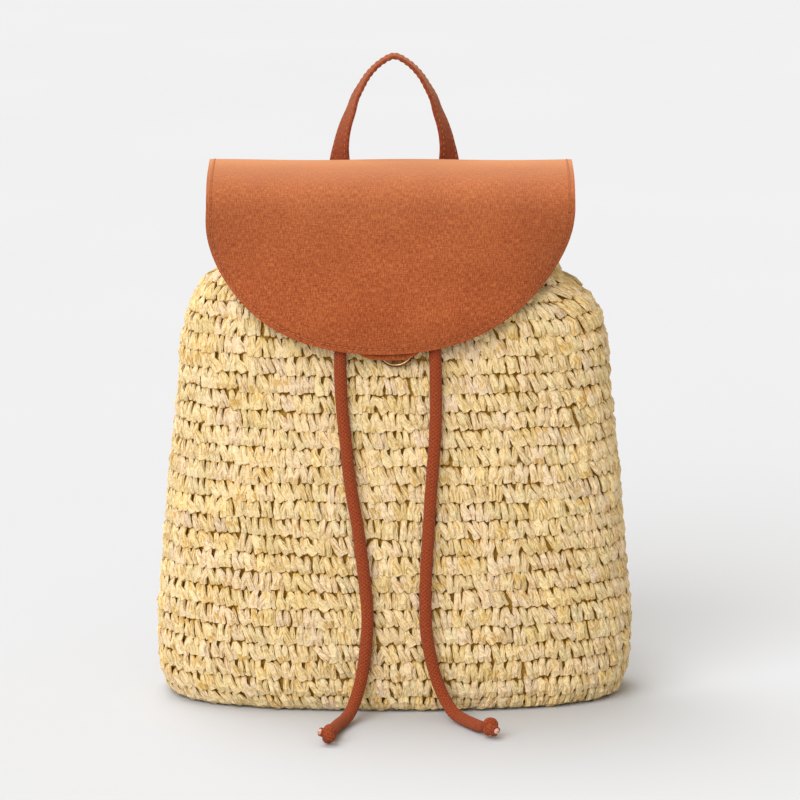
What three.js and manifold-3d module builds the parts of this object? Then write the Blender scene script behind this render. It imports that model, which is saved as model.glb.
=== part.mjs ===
// Woven straw backpack: a crocheted bag, gathered at its mouth by a drawcord, under a cloth flap.
// The flap closes on a magnetic snap. A cloth handle and two shoulder straps are sewn to the flap's
// back lap. Millimetres, +Z up, the front faces -Y, the origin is the middle of the base.
import * as THREE from 'three';
import { mergeVertices } from 'three/addons/utils/BufferGeometryUtils.js';
import Module from 'manifold-3d';

const wasm = await Module();
wasm.setup();

// Crocheted bag
const bagWidth = 289;
const bagDepth = 126;
const bagHeight = 312;
const strawWall = 4;
const frontSquareness = 2.5;
const floorInset = 7;
const gatherFolds = 6;
const gatherDepth = 6.6;
const flatBackShare = 0.39;
const backSegments = 12;
const segmentsPerFold = 10;

// Shares of the bag's height, half width and half depth; square is the squareness of the back
// corners, and gather how far the drawcord pulls the wall into folds.
const bagRows = [
  { height: 0.0, half: 0.907, front: 0.825, back: 0.794, square: 2.6, gather: 0 },
  { height: 0.008, half: 0.945, front: 0.905, back: 0.873, square: 2.6, gather: 0 },
  { height: 0.026, half: 0.972, front: 0.968, back: 0.929, square: 2.6, gather: 0 },
  { height: 0.051, half: 0.99, front: 0.992, back: 0.952, square: 2.6, gather: 0 },
  { height: 0.103, half: 1.0, front: 1.0, back: 0.952, square: 2.7, gather: 0 },
  { height: 0.179, half: 0.998, front: 1.0, back: 0.937, square: 2.7, gather: 0 },
  { height: 0.282, half: 0.976, front: 0.992, back: 0.905, square: 2.8, gather: 0 },
  { height: 0.401, half: 0.957, front: 0.976, back: 0.857, square: 2.9, gather: 0 },
  { height: 0.522, half: 0.929, front: 0.952, back: 0.802, square: 3.0, gather: 0 },
  { height: 0.622, half: 0.904, front: 0.929, back: 0.754, square: 3.2, gather: 0 },
  { height: 0.702, half: 0.894, front: 0.905, back: 0.714, square: 3.4, gather: 0 },
  { height: 0.76, half: 0.865, front: 0.873, back: 0.683, square: 3.8, gather: 0 },
  { height: 0.792, half: 0.824, front: 0.817, back: 0.659, square: 4.2, gather: 0.12 },
  { height: 0.821, half: 0.754, front: 0.73, back: 0.635, square: 4.8, gather: 0.38 },
  { height: 0.853, half: 0.699, front: 0.627, back: 0.611, square: 5.4, gather: 0.72 },
  { height: 0.881, half: 0.678, front: 0.524, back: 0.587, square: 6, gather: 0.95 },
  { height: 0.907, half: 0.671, front: 0.46, back: 0.579, square: 6, gather: 1 },
  { height: 0.936, half: 0.671, front: 0.452, back: 0.571, square: 6, gather: 1 },
  { height: 0.971, half: 0.675, front: 0.444, back: 0.571, square: 6, gather: 1 },
  { height: 1.0, half: 0.682, front: 0.444, back: 0.571, square: 6, gather: 1 },
];

// Cloth flap
const flapWidth = 221;
const flapThickness = 2.4;
const lapHeight = 28;
const flapRise = 13;
const flapDrop = 88.5;
const flapStraightDrop = 6;
const flapCurl = 38;
const flapCurlPower = 3.5;
const flapCurlRise = 1;
const flapCurlDrop = 56;
const flapSkew = 6;
const flapRoundness = 2.1;
const flapColumns = 18;
const flapTopHeight = bagHeight + flapRise;
const flapTipHeight = bagHeight - flapDrop;
const flapStraightHeight = bagHeight - flapStraightDrop;
const flapCurlTop = bagHeight + flapCurlRise;
const flapCurlFull = bagHeight - flapCurlDrop;

// Drawcord
const cordWidth = 7.5;
const cordDrop = 29;
const cordHeight = bagHeight - cordDrop;
const cordSides = 8;
const ringSteps = 36;
const endSteps = 22;
const cordClearance = 0.45;
const knotRadius = 6.3;

// Magnetic snap and its tab
const snapRadius = 11.5;
const snapThickness = 2.8;
const snapKnobRadius = 3;
const snapKnobHeight = 1.2;
const snapAcross = 1;
const snapAboveTip = 2.7;
const snapHeight = flapTipHeight + snapAboveTip;
const snapSides = 24;
const tabWidth = 44;
const tabThickness = 2;
const tabAcross = -3.5;
const tabAboveTip = 14.5;
const tabBelowTip = 4.1;
const tabTopHeight = flapTipHeight + tabAboveTip;
const tabBottomHeight = flapTipHeight - tabBelowTip;

// Handle and shoulder straps
const handleWidth = 14;
const handleThickness = 2.4;
const handleSpread = 67;
const handleSewnDrop = 18;
const handleRise = 63.5;
const handleBottomHeight = bagHeight - handleSewnDrop;
const handleTopHeight = flapTopHeight + handleRise;
const strapWidth = 24;
const strapThickness = 2.4;
const strapTopAcross = 13;
const strapTopDrop = 6;
const strapTopHeight = bagHeight - strapTopDrop;
const strapBottomAcross = 96;
const strapBottomHeight = 14;
const strapBow = 88;
const strapClearance = 0.4;

// Space left between pieces that touch, and the size below which a cut's slivers are merged
const seatGap = 0.3;
const mergeTolerance = 0.02;

// Shares of the handle's half spread and rise; turn is the share of the quarter turn that lays
// the strap flat across the hand at its top.
const handleRows = [
  { up: 0.0, across: 1.0, turn: 0 },
  { up: 0.1, across: 1.0, turn: 0 },
  { up: 0.19, across: 1.0, turn: 0 },
  { up: 0.265, across: 1.0, turn: 0.13 },
  { up: 0.34, across: 0.995, turn: 0.4 },
  { up: 0.41, across: 0.975, turn: 0.56 },
  { up: 0.49, across: 0.935, turn: 0.65 },
  { up: 0.565, across: 0.875, turn: 0.72 },
  { up: 0.645, across: 0.79, turn: 0.78 },
  { up: 0.725, across: 0.72, turn: 0.84 },
  { up: 0.8, across: 0.61, turn: 0.9 },
  { up: 0.88, across: 0.47, turn: 0.95 },
  { up: 0.955, across: 0.26, turn: 0.99 },
];

// Shares of the strap's drop, its bow behind the back and its way out to the side; turn is the
// share of the turn that lays its lower end along the bag's side.
const strapRows = [
  { down: 0.0, bow: 0.0, across: 0.0, turn: 0 },
  { down: 0.045, bow: 0.0, across: 0.0, turn: 0 },
  { down: 0.085, bow: 0.03, across: 0.01, turn: 0 },
  { down: 0.135, bow: 0.13, across: 0.05, turn: 0.05 },
  { down: 0.21, bow: 0.33, across: 0.14, turn: 0.12 },
  { down: 0.31, bow: 0.6, across: 0.28, turn: 0.22 },
  { down: 0.43, bow: 0.84, across: 0.45, turn: 0.36 },
  { down: 0.56, bow: 0.97, across: 0.63, turn: 0.52 },
  { down: 0.69, bow: 0.96, across: 0.79, turn: 0.7 },
  { down: 0.8, bow: 0.79, across: 0.91, turn: 0.85 },
  { down: 0.87, bow: 0.54, across: 0.97, turn: 0.95 },
  { down: 0.905, bow: 0.27, across: 0.995, turn: 1 },
  { down: 0.925, bow: 0.09, across: 1.0, turn: 1 },
  { down: 0.955, bow: 0.0, across: 1.0, turn: 1 },
  { down: 1.0, bow: 0.0, across: 1.0, turn: 1 },
];

// Routes of the drawcord's two hanging ends, from under the flap to the knots on the floor
const leftEndRoute = [
  [-22.6, -26.8, 283], [-20, -27.1, 283], [-17, -29.7, 282], [-15.2, -34, 278], [-16.2, -39.5, 271],
  [-19.5, -46, 263.5], [-23.2, -51.8, 255.5], [-27.2, -56.7, 247.5], [-30.5, -59.8, 237],
  [-32.2, -61.2, 222], [-32, -62.4, 204], [-30.9, -63, 186], [-29.2, -63.7, 170],
  [-27, -64.7, 148.4], [-24.8, -65.3, 133.5], [-22.2, -65.8, 119],
  [-19.5, -66.5, 98], [-17.2, -67, 78], [-16.1, -67.3, 60], [-17.3, -67.7, 42], [-19.4, -68.7, 26.5],
  [-22.6, -73, 14.5], [-26.4, -82, 6.8], [-30, -91, 4.3], [-33.6, -101, 4.05], [-36.2, -111, 4.05],
  [-37.8, -124.6, 5.2],
];
const rightEndRoute = [
  [22.6, -26.8, 283], [20, -27.1, 283], [17, -29.7, 282], [15.2, -34, 278], [15.9, -39.5, 271],
  [18, -46, 263.5], [20.4, -51.8, 255.5], [22.3, -56.7, 247.5], [23.6, -59.8, 237],
  [24.5, -61.2, 222], [24.9, -62.4, 204], [25, -63, 186], [24.3, -63.8, 167.8],
  [22.8, -64.7, 148.4], [21.5, -65.5, 128.8], [20.3, -66.1, 109],
  [19.2, -66.8, 89.7], [18.8, -67.2, 70], [19.7, -67.5, 50.4], [22.6, -68, 34.6], [26.4, -69.7, 21.5],
  [31, -74.5, 12], [36, -82, 6.2], [40.5, -87.5, 4.3], [45.4, -95.5, 4.05], [50.2, -103.6, 4.1],
  [54.3, -110.9, 5.3],
];

const clothMaterial = new THREE.MeshStandardMaterial({ color: 0xb0582f, roughness: 0.9, metalness: 0 });
const cordMaterial = new THREE.MeshStandardMaterial({ color: 0x9a4421, roughness: 0.85, metalness: 0 });
const strawMaterial = new THREE.MeshStandardMaterial({ color: 0xecd8a6, roughness: 0.8, metalness: 0 });
const brassMaterial = new THREE.MeshStandardMaterial({ color: 0x8a6a35, roughness: 0.4, metalness: 1 });

function tableValue(rows, along, at, column) {
  const last = rows.length - 1;
  let index = rows.findIndex((row) => row[along] > at);
  index = index < 0 ? last : Math.max(index, 1);
  const low = rows[index - 1];
  const high = rows[index];
  const share = (at - low[along]) / (high[along] - low[along]);
  return THREE.MathUtils.lerp(low[column], high[column], THREE.MathUtils.clamp(share, 0, 1));
}

function bagSection(height) {
  const at = height / bagHeight;
  const column = (name) => tableValue(bagRows, 'height', at, name);
  return {
    half: (column('half') * bagWidth) / 2,
    front: (column('front') * bagDepth) / 2,
    back: (column('back') * bagDepth) / 2,
    square: column('square'),
    gather: column('gather') * gatherDepth,
  };
}

function bagFront(across, height) {
  const section = bagSection(height);
  const share = Math.min(Math.abs(across) / section.half, 1);
  return -section.front * (1 - share ** frontSquareness) ** (1 / frontSquareness);
}

function bagBack(across, height) {
  const section = bagSection(height);
  const share = Math.min(Math.abs(across) / section.half, 1);
  return section.back * (1 - share ** section.square) ** (1 / section.square);
}

// Plan outline of the bag at a height, drawn in by an inset, as an even loop that starts at the
// middle of the back and turns towards +X.
function planOutline(height, inset) {
  const section = bagSection(height);
  const samples = 360;
  const points = [];
  for (let index = 0; index <= samples; index += 1) {
    const angle = (2 * Math.PI * index) / samples;
    const side = Math.sin(angle);
    const rear = Math.cos(angle);
    const squareness = rear > 0 ? section.square : frontSquareness;
    const depth = (rear > 0 ? section.back : section.front) - inset;
    points.push(new THREE.Vector2(
      Math.sign(side) * Math.abs(side) ** (2 / squareness) * (section.half - inset),
      Math.sign(rear) * Math.abs(rear) ** (2 / squareness) * depth,
    ));
  }
  const lengths = [0];
  for (let index = 1; index <= samples; index += 1) {
    lengths.push(lengths[index - 1] + points[index].distanceTo(points[index - 1]));
  }
  return { points, lengths, total: lengths[samples] };
}

function outlinePoint(outline, share) {
  const target = THREE.MathUtils.euclideanModulo(share, 1) * outline.total;
  const index = Math.max(outline.lengths.findIndex((length) => length > target), 1);
  const span = outline.lengths[index] - outline.lengths[index - 1];
  const mix = (target - outline.lengths[index - 1]) / span;
  return outline.points[index - 1].clone().lerp(outline.points[index], mix);
}

// The folds fade out where the flat back begins, and a fold stands out at the middle of the front.
function foldHeight(share) {
  const fromFront = share - 0.5;
  const gatheredShare = 1 - flatBackShare;
  const foldShare = gatheredShare / gatherFolds;
  const toBack = gatheredShare / 2 - Math.abs(fromFront);
  const fade = THREE.MathUtils.smoothstep(toBack, 0, foldShare / 2);
  return fade * Math.cos((2 * Math.PI * fromFront) / foldShare);
}

function wallPoint(height, share, inset) {
  const outline = planOutline(height, inset);
  const point = outlinePoint(outline, share);
  const ahead = outlinePoint(outline, share + 0.004);
  const behind = outlinePoint(outline, share - 0.004);
  const run = ahead.sub(behind).normalize();
  const out = foldHeight(share) * bagSection(height).gather;
  return new THREE.Vector3(point.x - run.y * out, point.y + run.x * out, height);
}

function wallShares() {
  const shares = [];
  for (let index = 0; index < backSegments; index += 1) {
    shares.push(-flatBackShare / 2 + (flatBackShare * index) / backSegments);
  }
  const gatheredSegments = gatherFolds * segmentsPerFold;
  for (let index = 0; index < gatheredSegments; index += 1) {
    shares.push(flatBackShare / 2 + ((1 - flatBackShare) * index) / gatheredSegments);
  }
  return shares.map((share) => THREE.MathUtils.euclideanModulo(share, 1));
}

function closedGeometry(points, faces) {
  const geometry = new THREE.BufferGeometry();
  const positions = points.flatMap((point) => [point.x, point.y, point.z]);
  geometry.setAttribute('position', new THREE.Float32BufferAttribute(positions, 3));
  geometry.setIndex(faces.flat());
  return geometry;
}

// A closed skin through rings of equal length, from the middle of the first ring to the middle of
// the last.
function loftedSkin(rings) {
  const count = rings[0].length;
  const points = rings.flat();
  const faces = [];
  for (let ring = 0; ring < rings.length - 1; ring += 1) {
    for (let index = 0; index < count; index += 1) {
      const a = ring * count + index;
      const b = ring * count + ((index + 1) % count);
      faces.push([a, a + count, b + count], [a, b + count, b]);
    }
  }
  const capEnd = (start, flip) => {
    const centre = new THREE.Vector3();
    for (let index = 0; index < count; index += 1) centre.addScaledVector(points[start + index], 1 / count);
    points.push(centre);
    for (let index = 0; index < count; index += 1) {
      const a = start + index;
      const b = start + ((index + 1) % count);
      faces.push(flip ? [points.length - 1, b, a] : [points.length - 1, a, b]);
    }
  };
  capEnd(0, false);
  capEnd((rings.length - 1) * count, true);
  return closedGeometry(points, faces);
}

// A sheet of even thickness about a grid of points, closed along its four edges.
function sheetSolid(grid, thickness) {
  const rows = grid.length;
  const columns = grid[0].length;
  const outer = [];
  const inner = [];
  for (let row = 0; row < rows; row += 1) {
    for (let column = 0; column < columns; column += 1) {
      const up = grid[Math.max(row - 1, 0)][column];
      const down = grid[Math.min(row + 1, rows - 1)][column];
      const left = grid[row][Math.max(column - 1, 0)];
      const right = grid[row][Math.min(column + 1, columns - 1)];
      const along = down.clone().sub(up);
      const across = right.clone().sub(left);
      const normal = along.cross(across).normalize();
      outer.push(grid[row][column].clone().addScaledVector(normal, thickness / 2));
      inner.push(grid[row][column].clone().addScaledVector(normal, -thickness / 2));
    }
  }
  const faces = [];
  const at = (row, column) => row * columns + column;
  const back = rows * columns;
  for (let row = 0; row < rows - 1; row += 1) {
    for (let column = 0; column < columns - 1; column += 1) {
      const a = at(row, column);
      const b = at(row, column + 1);
      const c = at(row + 1, column + 1);
      const d = at(row + 1, column);
      faces.push([a, d, c], [a, c, b], [back + a, back + c, back + d], [back + a, back + b, back + c]);
    }
  }
  const edge = [];
  for (let column = 0; column < columns - 1; column += 1) edge.push(at(0, column));
  for (let row = 0; row < rows - 1; row += 1) edge.push(at(row, columns - 1));
  for (let column = columns - 1; column > 0; column -= 1) edge.push(at(rows - 1, column));
  for (let row = rows - 1; row > 0; row -= 1) edge.push(at(row, 0));
  edge.forEach((a, index) => {
    const b = edge[(index + 1) % edge.length];
    faces.push([a, b, back + b], [a, back + b, back + a]);
  });
  return closedGeometry([...outer, ...inner], faces);
}

function cordTube(points, width, steps) {
  const curve = new THREE.CatmullRomCurve3(points, false, 'centripetal');
  const section = new THREE.Shape();
  for (let side = 0; side < cordSides; side += 1) {
    const angle = (2 * Math.PI * side) / cordSides;
    const x = (Math.cos(angle) * width) / 2;
    const y = (Math.sin(angle) * width) / 2;
    if (side === 0) section.moveTo(x, y);
    else section.lineTo(x, y);
  }
  return new THREE.ExtrudeGeometry(section, { steps, bevelEnabled: false, extrudePath: curve });
}

function toManifold(geometry) {
  const bare = geometry.clone();
  bare.deleteAttribute('normal');
  bare.deleteAttribute('uv');
  const merged = mergeVertices(bare);
  return new wasm.Manifold(new wasm.Mesh({
    numProp: 3,
    vertProperties: new Float32Array(merged.attributes.position.array),
    triVerts: new Uint32Array(merged.index.array),
  }));
}

function fromManifold(solid) {
  const mesh = solid.getMesh();
  const geometry = new THREE.BufferGeometry();
  geometry.setAttribute('position', new THREE.BufferAttribute(new Float32Array(mesh.vertProperties), 3));
  geometry.setIndex(Array.from(mesh.triVerts));
  return geometry;
}

function namedMesh(name, geometry, material) {
  geometry.computeVertexNormals();
  const mesh = new THREE.Mesh(geometry, material);
  mesh.name = name;
  return mesh;
}

// The cord lies in the middle of the wall, so it runs outside the wall where a fold dips and
// inside where a fold stands out, and it stays inside along the flat back.
function drawcordRoute(points) {
  const foldShare = (1 - flatBackShare) / gatherFolds;
  const start = 0.5 + foldShare / 2;
  const route = [];
  for (let index = 0; index <= points; index += 1) {
    const share = THREE.MathUtils.euclideanModulo(start + ((1 - foldShare) * index) / points, 1);
    const toBack = (1 - flatBackShare) / 2 - Math.abs(share - 0.5);
    const inside = 1 - THREE.MathUtils.smoothstep(toBack, 0, foldShare * 0.6);
    const clearOfWall = strawWall / 2 + cordWidth / 2 + cordClearance;
    const outline = planOutline(cordHeight, strawWall / 2 + inside * clearOfWall);
    const point = outlinePoint(outline, share);
    route.push(new THREE.Vector3(point.x, point.y, cordHeight));
  }
  return route;
}

const cordRoute = drawcordRoute(44);

// Crocheted paper straw, worked in rounds up from the base, with gaps between the stitches that
// the drawcord passes through.
function strawBody() {
  const shares = wallShares();
  const ring = (height, inset, level) => {
    const points = shares.map((share) => wallPoint(height, share, inset));
    points.forEach((point) => point.setZ(level));
    return points;
  };
  const outside = bagRows.map((row) => ring(row.height * bagHeight, 0, row.height * bagHeight));
  const insideRows = bagRows.filter((row, index) => index > 2 && (row.height > 0.7 || index % 2 === 1));
  const inside = insideRows.map((row) => ring(row.height * bagHeight, strawWall, row.height * bagHeight));
  const floor = ring(bagRows[2].height * bagHeight, floorInset, strawWall);
  const skin = loftedSkin([...outside, ...inside.reverse(), floor]);
  const passage = cordTube(cordRoute, cordWidth + 2 * cordClearance, ringSteps);
  const pierced = toManifold(skin).subtract(toManifold(passage));
  return fromManifold(pierced.simplify(mergeTolerance));
}

// The flap's side profile, from the hem of its back lap, over the mouth and down the front
const lapBottomHeight = bagHeight - lapHeight;
const backPlane = bagBack(0, lapBottomHeight) + seatGap + flapThickness / 2;
const snapStack = 4 * seatGap + 2 * snapThickness + tabThickness + flapThickness / 2;
const snapSeat = bagFront(snapAcross, snapHeight - snapRadius);
const tipPlane = snapSeat - snapStack;
const foldPlane = bagFront(0, bagHeight) - gatherDepth;
const frontDepth = (share) => THREE.MathUtils.lerp(foldPlane, tipPlane, share);
const dropHeight = (share) => THREE.MathUtils.lerp(bagHeight, flapTipHeight, share);
const flapProfile = new THREE.CatmullRomCurve3([
  [backPlane, lapBottomHeight],
  [backPlane, bagHeight - lapHeight / 2],
  [backPlane, bagHeight - 5],
  [backPlane - 0.1, bagHeight + 0.5],
  [backPlane - 1.2, flapTopHeight - 8.5],
  [backPlane - 4.5, flapTopHeight - 4],
  [backPlane - 11, flapTopHeight - 0.8],
  [backPlane - 22, flapTopHeight],
  [0, flapTopHeight - 1],
  [foldPlane + 14, flapTopHeight - 3],
  [foldPlane + 2, flapTopHeight - 6.5],
  [foldPlane - 6, bagHeight],
  [frontDepth(0.3), dropHeight(0.12)],
  [frontDepth(0.44), dropHeight(0.28)],
  [frontDepth(0.61), dropHeight(0.43)],
  [frontDepth(0.79), dropHeight(0.6)],
  [frontDepth(0.95), dropHeight(0.75)],
  [tipPlane, dropHeight(0.84)],
  [tipPlane, flapTipHeight],
].map(([depth, height]) => new THREE.Vector3(0, depth, height)), false, 'centripetal');
const profilePoints = flapProfile.getSpacedPoints(400);

function profileFrontDepth(height) {
  const below = profilePoints.findLastIndex((point) => point.z > height);
  return profilePoints[Math.min(below + 1, profilePoints.length - 1)].y;
}

// The flap's sides curl back round the bag below the fold, and its tip hangs a little to one side.
function flapPoint(across, depth, height) {
  const curl = 1 - THREE.MathUtils.smoothstep(height, flapCurlFull, flapCurlTop);
  const isFront = depth < 0;
  const back = isFront ? curl * flapCurl * Math.abs((2 * across) / flapWidth) ** flapCurlPower : 0;
  const drop = (flapStraightHeight - height) / (flapStraightHeight - flapTipHeight);
  const skew = isFront ? flapSkew * THREE.MathUtils.clamp(drop, 0, 1) : 0;
  return new THREE.Vector3(across - skew, depth + back, height);
}

function flap() {
  const overRows = 15;
  const dropRows = 11;
  const drop = flapStraightHeight - flapTipHeight;
  const straightEnd = profilePoints.findLastIndex((point) => point.z > flapStraightHeight);
  const grid = [];
  const addRow = (half, depth, height) => {
    const row = [];
    for (let column = 0; column <= flapColumns; column += 1) {
      row.push(flapPoint(half * ((2 * column) / flapColumns - 1), depth, height));
    }
    grid.push(row);
  };
  for (let row = 0; row < overRows; row += 1) {
    const point = profilePoints[Math.round((straightEnd * row) / overRows)];
    addRow(flapWidth / 2, point.y, point.z);
  }
  for (let row = 0; row <= dropRows; row += 1) {
    const share = Math.sin(THREE.MathUtils.degToRad((84 * row) / dropRows));
    const height = flapStraightHeight - drop * share;
    const half = (flapWidth / 2) * (1 - share ** flapRoundness) ** (1 / flapRoundness);
    addRow(half, profileFrontDepth(height), height);
  }
  return sheetSolid(grid, flapThickness);
}

// A small cloth tab under the flap's tip that carries the upper half of the snap
function flapTab() {
  const rows = 8;
  const columns = 8;
  const inward = flapThickness / 2 + seatGap + tabThickness / 2;
  const grid = [];
  for (let row = 0; row <= rows; row += 1) {
    const share = Math.sin(THREE.MathUtils.degToRad((80 * row) / rows));
    const height = THREE.MathUtils.lerp(tabTopHeight, tabBottomHeight, share);
    const half = (tabWidth / 2) * (1 - share ** 3) ** (1 / 3);
    const line = [];
    for (let column = 0; column <= columns; column += 1) {
      const across = tabAcross + half * ((2 * column) / columns - 1);
      const point = flapPoint(across, profileFrontDepth(height), height);
      line.push(new THREE.Vector3(across, point.y + inward, height));
    }
    grid.push(line);
  }
  return sheetSolid(grid, tabThickness);
}

// Each half of the snap is a turned disc: the lower one has a knob that the upper one receives.
function snapDisc(faceProfile) {
  const edge = 0.7;
  const profile = [
    [0, 0],
    [snapRadius - edge, 0],
    [snapRadius, edge],
    [snapRadius, snapThickness - edge],
    [snapRadius - edge, snapThickness],
    ...faceProfile,
  ];
  const points = profile.map(([radius, level]) => new THREE.Vector2(radius, level));
  return fromManifold(toManifold(new THREE.LatheGeometry(points, snapSides)));
}

function snapBase() {
  const knobTop = snapThickness + snapKnobHeight;
  const disc = snapDisc([[snapKnobRadius, snapThickness], [snapKnobRadius, knobTop], [0, knobTop]]);
  disc.rotateX(Math.PI);
  return disc.translate(snapAcross, snapSeat - seatGap, snapHeight);
}

function snapCap() {
  const recessFloor = snapThickness - snapKnobHeight - seatGap;
  const recessRadius = snapKnobRadius + seatGap;
  const disc = snapDisc([[recessRadius, snapThickness], [recessRadius, recessFloor], [0, recessFloor]]);
  return disc.translate(snapAcross, snapSeat - 2 * seatGap - 2 * snapThickness, snapHeight);
}

// A flat strap: a row of the grid lies across it at each step, turned about the strap's own line.
function strapGrid(curve, steps, width, acrossAt) {
  const grid = [];
  for (let step = 0; step <= steps; step += 1) {
    const point = curve.getPoint(step / steps);
    const tangent = curve.getTangent(step / steps);
    const across = acrossAt(step / steps, tangent);
    across.addScaledVector(tangent, -across.dot(tangent)).normalize();
    grid.push([
      point.clone().addScaledVector(across, -width / 2),
      point.clone().addScaledVector(across, width / 2),
    ]);
  }
  return grid;
}

const lapFace = backPlane + flapThickness / 2;
const handlePlane = lapFace + seatGap + handleThickness / 2;

function handle() {
  const rise = handleTopHeight - handleBottomHeight;
  const leg = handleRows.map((row) => ({
    across: (row.across * handleSpread) / 2,
    height: handleBottomHeight + row.up * rise,
    turn: (row.turn * Math.PI) / 2,
  }));
  const top = { across: 0, height: handleTopHeight, turn: Math.PI / 2 };
  const left = leg.map((row) => ({ ...row, across: -row.across }));
  const stations = [...left, top, ...[...leg].reverse()];
  const points = stations.map((row) => new THREE.Vector3(row.across, handlePlane, row.height));
  const curve = new THREE.CatmullRomCurve3(points, false, 'centripetal');
  const acrossAt = (at, tangent) => {
    const place = at * (stations.length - 1);
    const low = Math.min(Math.floor(place), stations.length - 2);
    const turn = THREE.MathUtils.lerp(stations[low].turn, stations[low + 1].turn, place - low);
    const outward = new THREE.Vector3(-tangent.z, 0, tangent.x).normalize();
    return outward.multiplyScalar(Math.cos(turn)).add(new THREE.Vector3(0, Math.sin(turn), 0));
  };
  return sheetSolid(strapGrid(curve, 40, handleWidth, acrossAt), handleThickness);
}

function shoulderStrap(side) {
  const topPlane = lapFace + seatGap + strapThickness / 2;
  const seatOut = seatGap + strapThickness / 2;
  const wallLean = (height) => {
    const inner = bagBack(strapBottomAcross - strapWidth / 2, height);
    const outer = bagBack(strapBottomAcross + strapWidth / 2, height);
    return Math.atan2(inner - outer, strapWidth);
  };
  const bottomPlane = (height) => {
    const clearOfWall = seatOut / Math.cos(wallLean(height)) + strapClearance;
    return bagBack(strapBottomAcross, height) + clearOfWall;
  };
  const points = strapRows.map((row) => {
    const height = THREE.MathUtils.lerp(strapTopHeight, strapBottomHeight, row.down);
    const across = THREE.MathUtils.lerp(strapTopAcross, strapBottomAcross, row.across);
    const seat = THREE.MathUtils.lerp(topPlane, bottomPlane(Math.min(height, bagHeight)), row.across);
    return new THREE.Vector3(side * across, seat + row.bow * strapBow, height);
  });
  const curve = new THREE.CatmullRomCurve3(points, false, 'centripetal');
  const lowerLean = wallLean(strapBottomHeight);
  const acrossAt = (at) => {
    const place = at * (strapRows.length - 1);
    const low = Math.min(Math.floor(place), strapRows.length - 2);
    const turn = THREE.MathUtils.lerp(strapRows[low].turn, strapRows[low + 1].turn, place - low);
    return new THREE.Vector3(Math.cos(turn * lowerLean), -side * Math.sin(turn * lowerLean), 0);
  };
  return sheetSolid(strapGrid(curve, 36, strapWidth, acrossAt), strapThickness);
}

function toVectors(route) {
  return route.map(([x, y, z]) => new THREE.Vector3(x, y, z));
}

// The cord's cut end is tied in an overhand knot, which lies just past the end of the tube.
function knot(route) {
  const points = toVectors(route);
  const last = points[points.length - 1];
  const run = last.clone().sub(points[points.length - 2]).setZ(0).normalize();
  const centre = last.clone().addScaledVector(run, knotRadius + seatGap);
  const ball = new THREE.SphereGeometry(knotRadius, 12, 8);
  ball.rotateX(Math.PI / 2);
  ball.translate(centre.x, centre.y, knotRadius + seatGap);
  return fromManifold(toManifold(ball));
}

const backpack = new THREE.Group();
backpack.add(
  namedMesh('straw_body', strawBody(), strawMaterial),
  namedMesh('flap', flap(), clothMaterial),
  namedMesh('flap_tab', flapTab(), clothMaterial),
  namedMesh('snap_cap', snapCap(), brassMaterial),
  namedMesh('snap_base', snapBase(), brassMaterial),
  namedMesh('handle', handle(), clothMaterial),
  namedMesh('strap_left', shoulderStrap(-1), clothMaterial),
  namedMesh('strap_right', shoulderStrap(1), clothMaterial),
  namedMesh('drawcord_ring', cordTube(cordRoute, cordWidth, ringSteps), cordMaterial),
  namedMesh('drawcord_end_left', cordTube(toVectors(leftEndRoute), cordWidth, endSteps), cordMaterial),
  namedMesh('drawcord_end_right', cordTube(toVectors(rightEndRoute), cordWidth, endSteps), cordMaterial),
  namedMesh('knot_left', knot(leftEndRoute), cordMaterial),
  namedMesh('knot_right', knot(rightEndRoute), cordMaterial),
);

export default backpack;
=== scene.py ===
# Woven straw backpack: crocheted paper straw, a canvas flap on a magnetic snap, and a drawcord.
# Metres throughout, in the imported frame: +Z up, the front faces -Y.
import math

import bmesh
import bpy
import numpy as np
from mathutils import Matrix, Vector


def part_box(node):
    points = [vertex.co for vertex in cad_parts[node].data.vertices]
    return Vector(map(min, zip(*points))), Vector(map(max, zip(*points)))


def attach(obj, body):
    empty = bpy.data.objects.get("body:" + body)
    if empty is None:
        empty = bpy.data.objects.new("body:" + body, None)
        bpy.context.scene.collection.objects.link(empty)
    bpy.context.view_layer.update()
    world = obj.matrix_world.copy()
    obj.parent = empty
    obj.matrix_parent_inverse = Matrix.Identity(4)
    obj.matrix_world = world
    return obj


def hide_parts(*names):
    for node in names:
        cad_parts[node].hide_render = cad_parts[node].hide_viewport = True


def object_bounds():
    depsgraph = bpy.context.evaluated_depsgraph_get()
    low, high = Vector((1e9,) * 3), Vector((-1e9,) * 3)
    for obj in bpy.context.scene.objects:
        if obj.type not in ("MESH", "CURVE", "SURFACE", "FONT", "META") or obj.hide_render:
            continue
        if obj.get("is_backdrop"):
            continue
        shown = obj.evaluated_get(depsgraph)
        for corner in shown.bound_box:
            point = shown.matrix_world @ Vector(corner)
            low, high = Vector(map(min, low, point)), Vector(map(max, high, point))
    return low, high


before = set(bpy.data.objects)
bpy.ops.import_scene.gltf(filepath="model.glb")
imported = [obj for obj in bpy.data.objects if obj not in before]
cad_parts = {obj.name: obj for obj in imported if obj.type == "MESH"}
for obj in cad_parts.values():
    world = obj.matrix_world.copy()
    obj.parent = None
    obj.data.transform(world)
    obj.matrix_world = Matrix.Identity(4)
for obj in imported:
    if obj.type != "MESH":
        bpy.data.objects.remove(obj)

cad_box = [list(corner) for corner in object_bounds()]
MM = 0.001


# Studio
# A plain pale floor that runs off to the horizon, a soft high light from the upper left, and pale
# light all round, as in a product photograph. The camera looks slightly down on the bag's front.
def linear(hex_colour):
    """An sRGB hex colour as the linear numbers that a shader takes."""
    parts = [int(hex_colour[place:place + 2], 16) / 255 for place in (1, 3, 5)]
    return [c / 12.92 if c <= 0.04045 else ((c + 0.055) / 1.055) ** 2.4 for c in parts] + [1.0]


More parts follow.
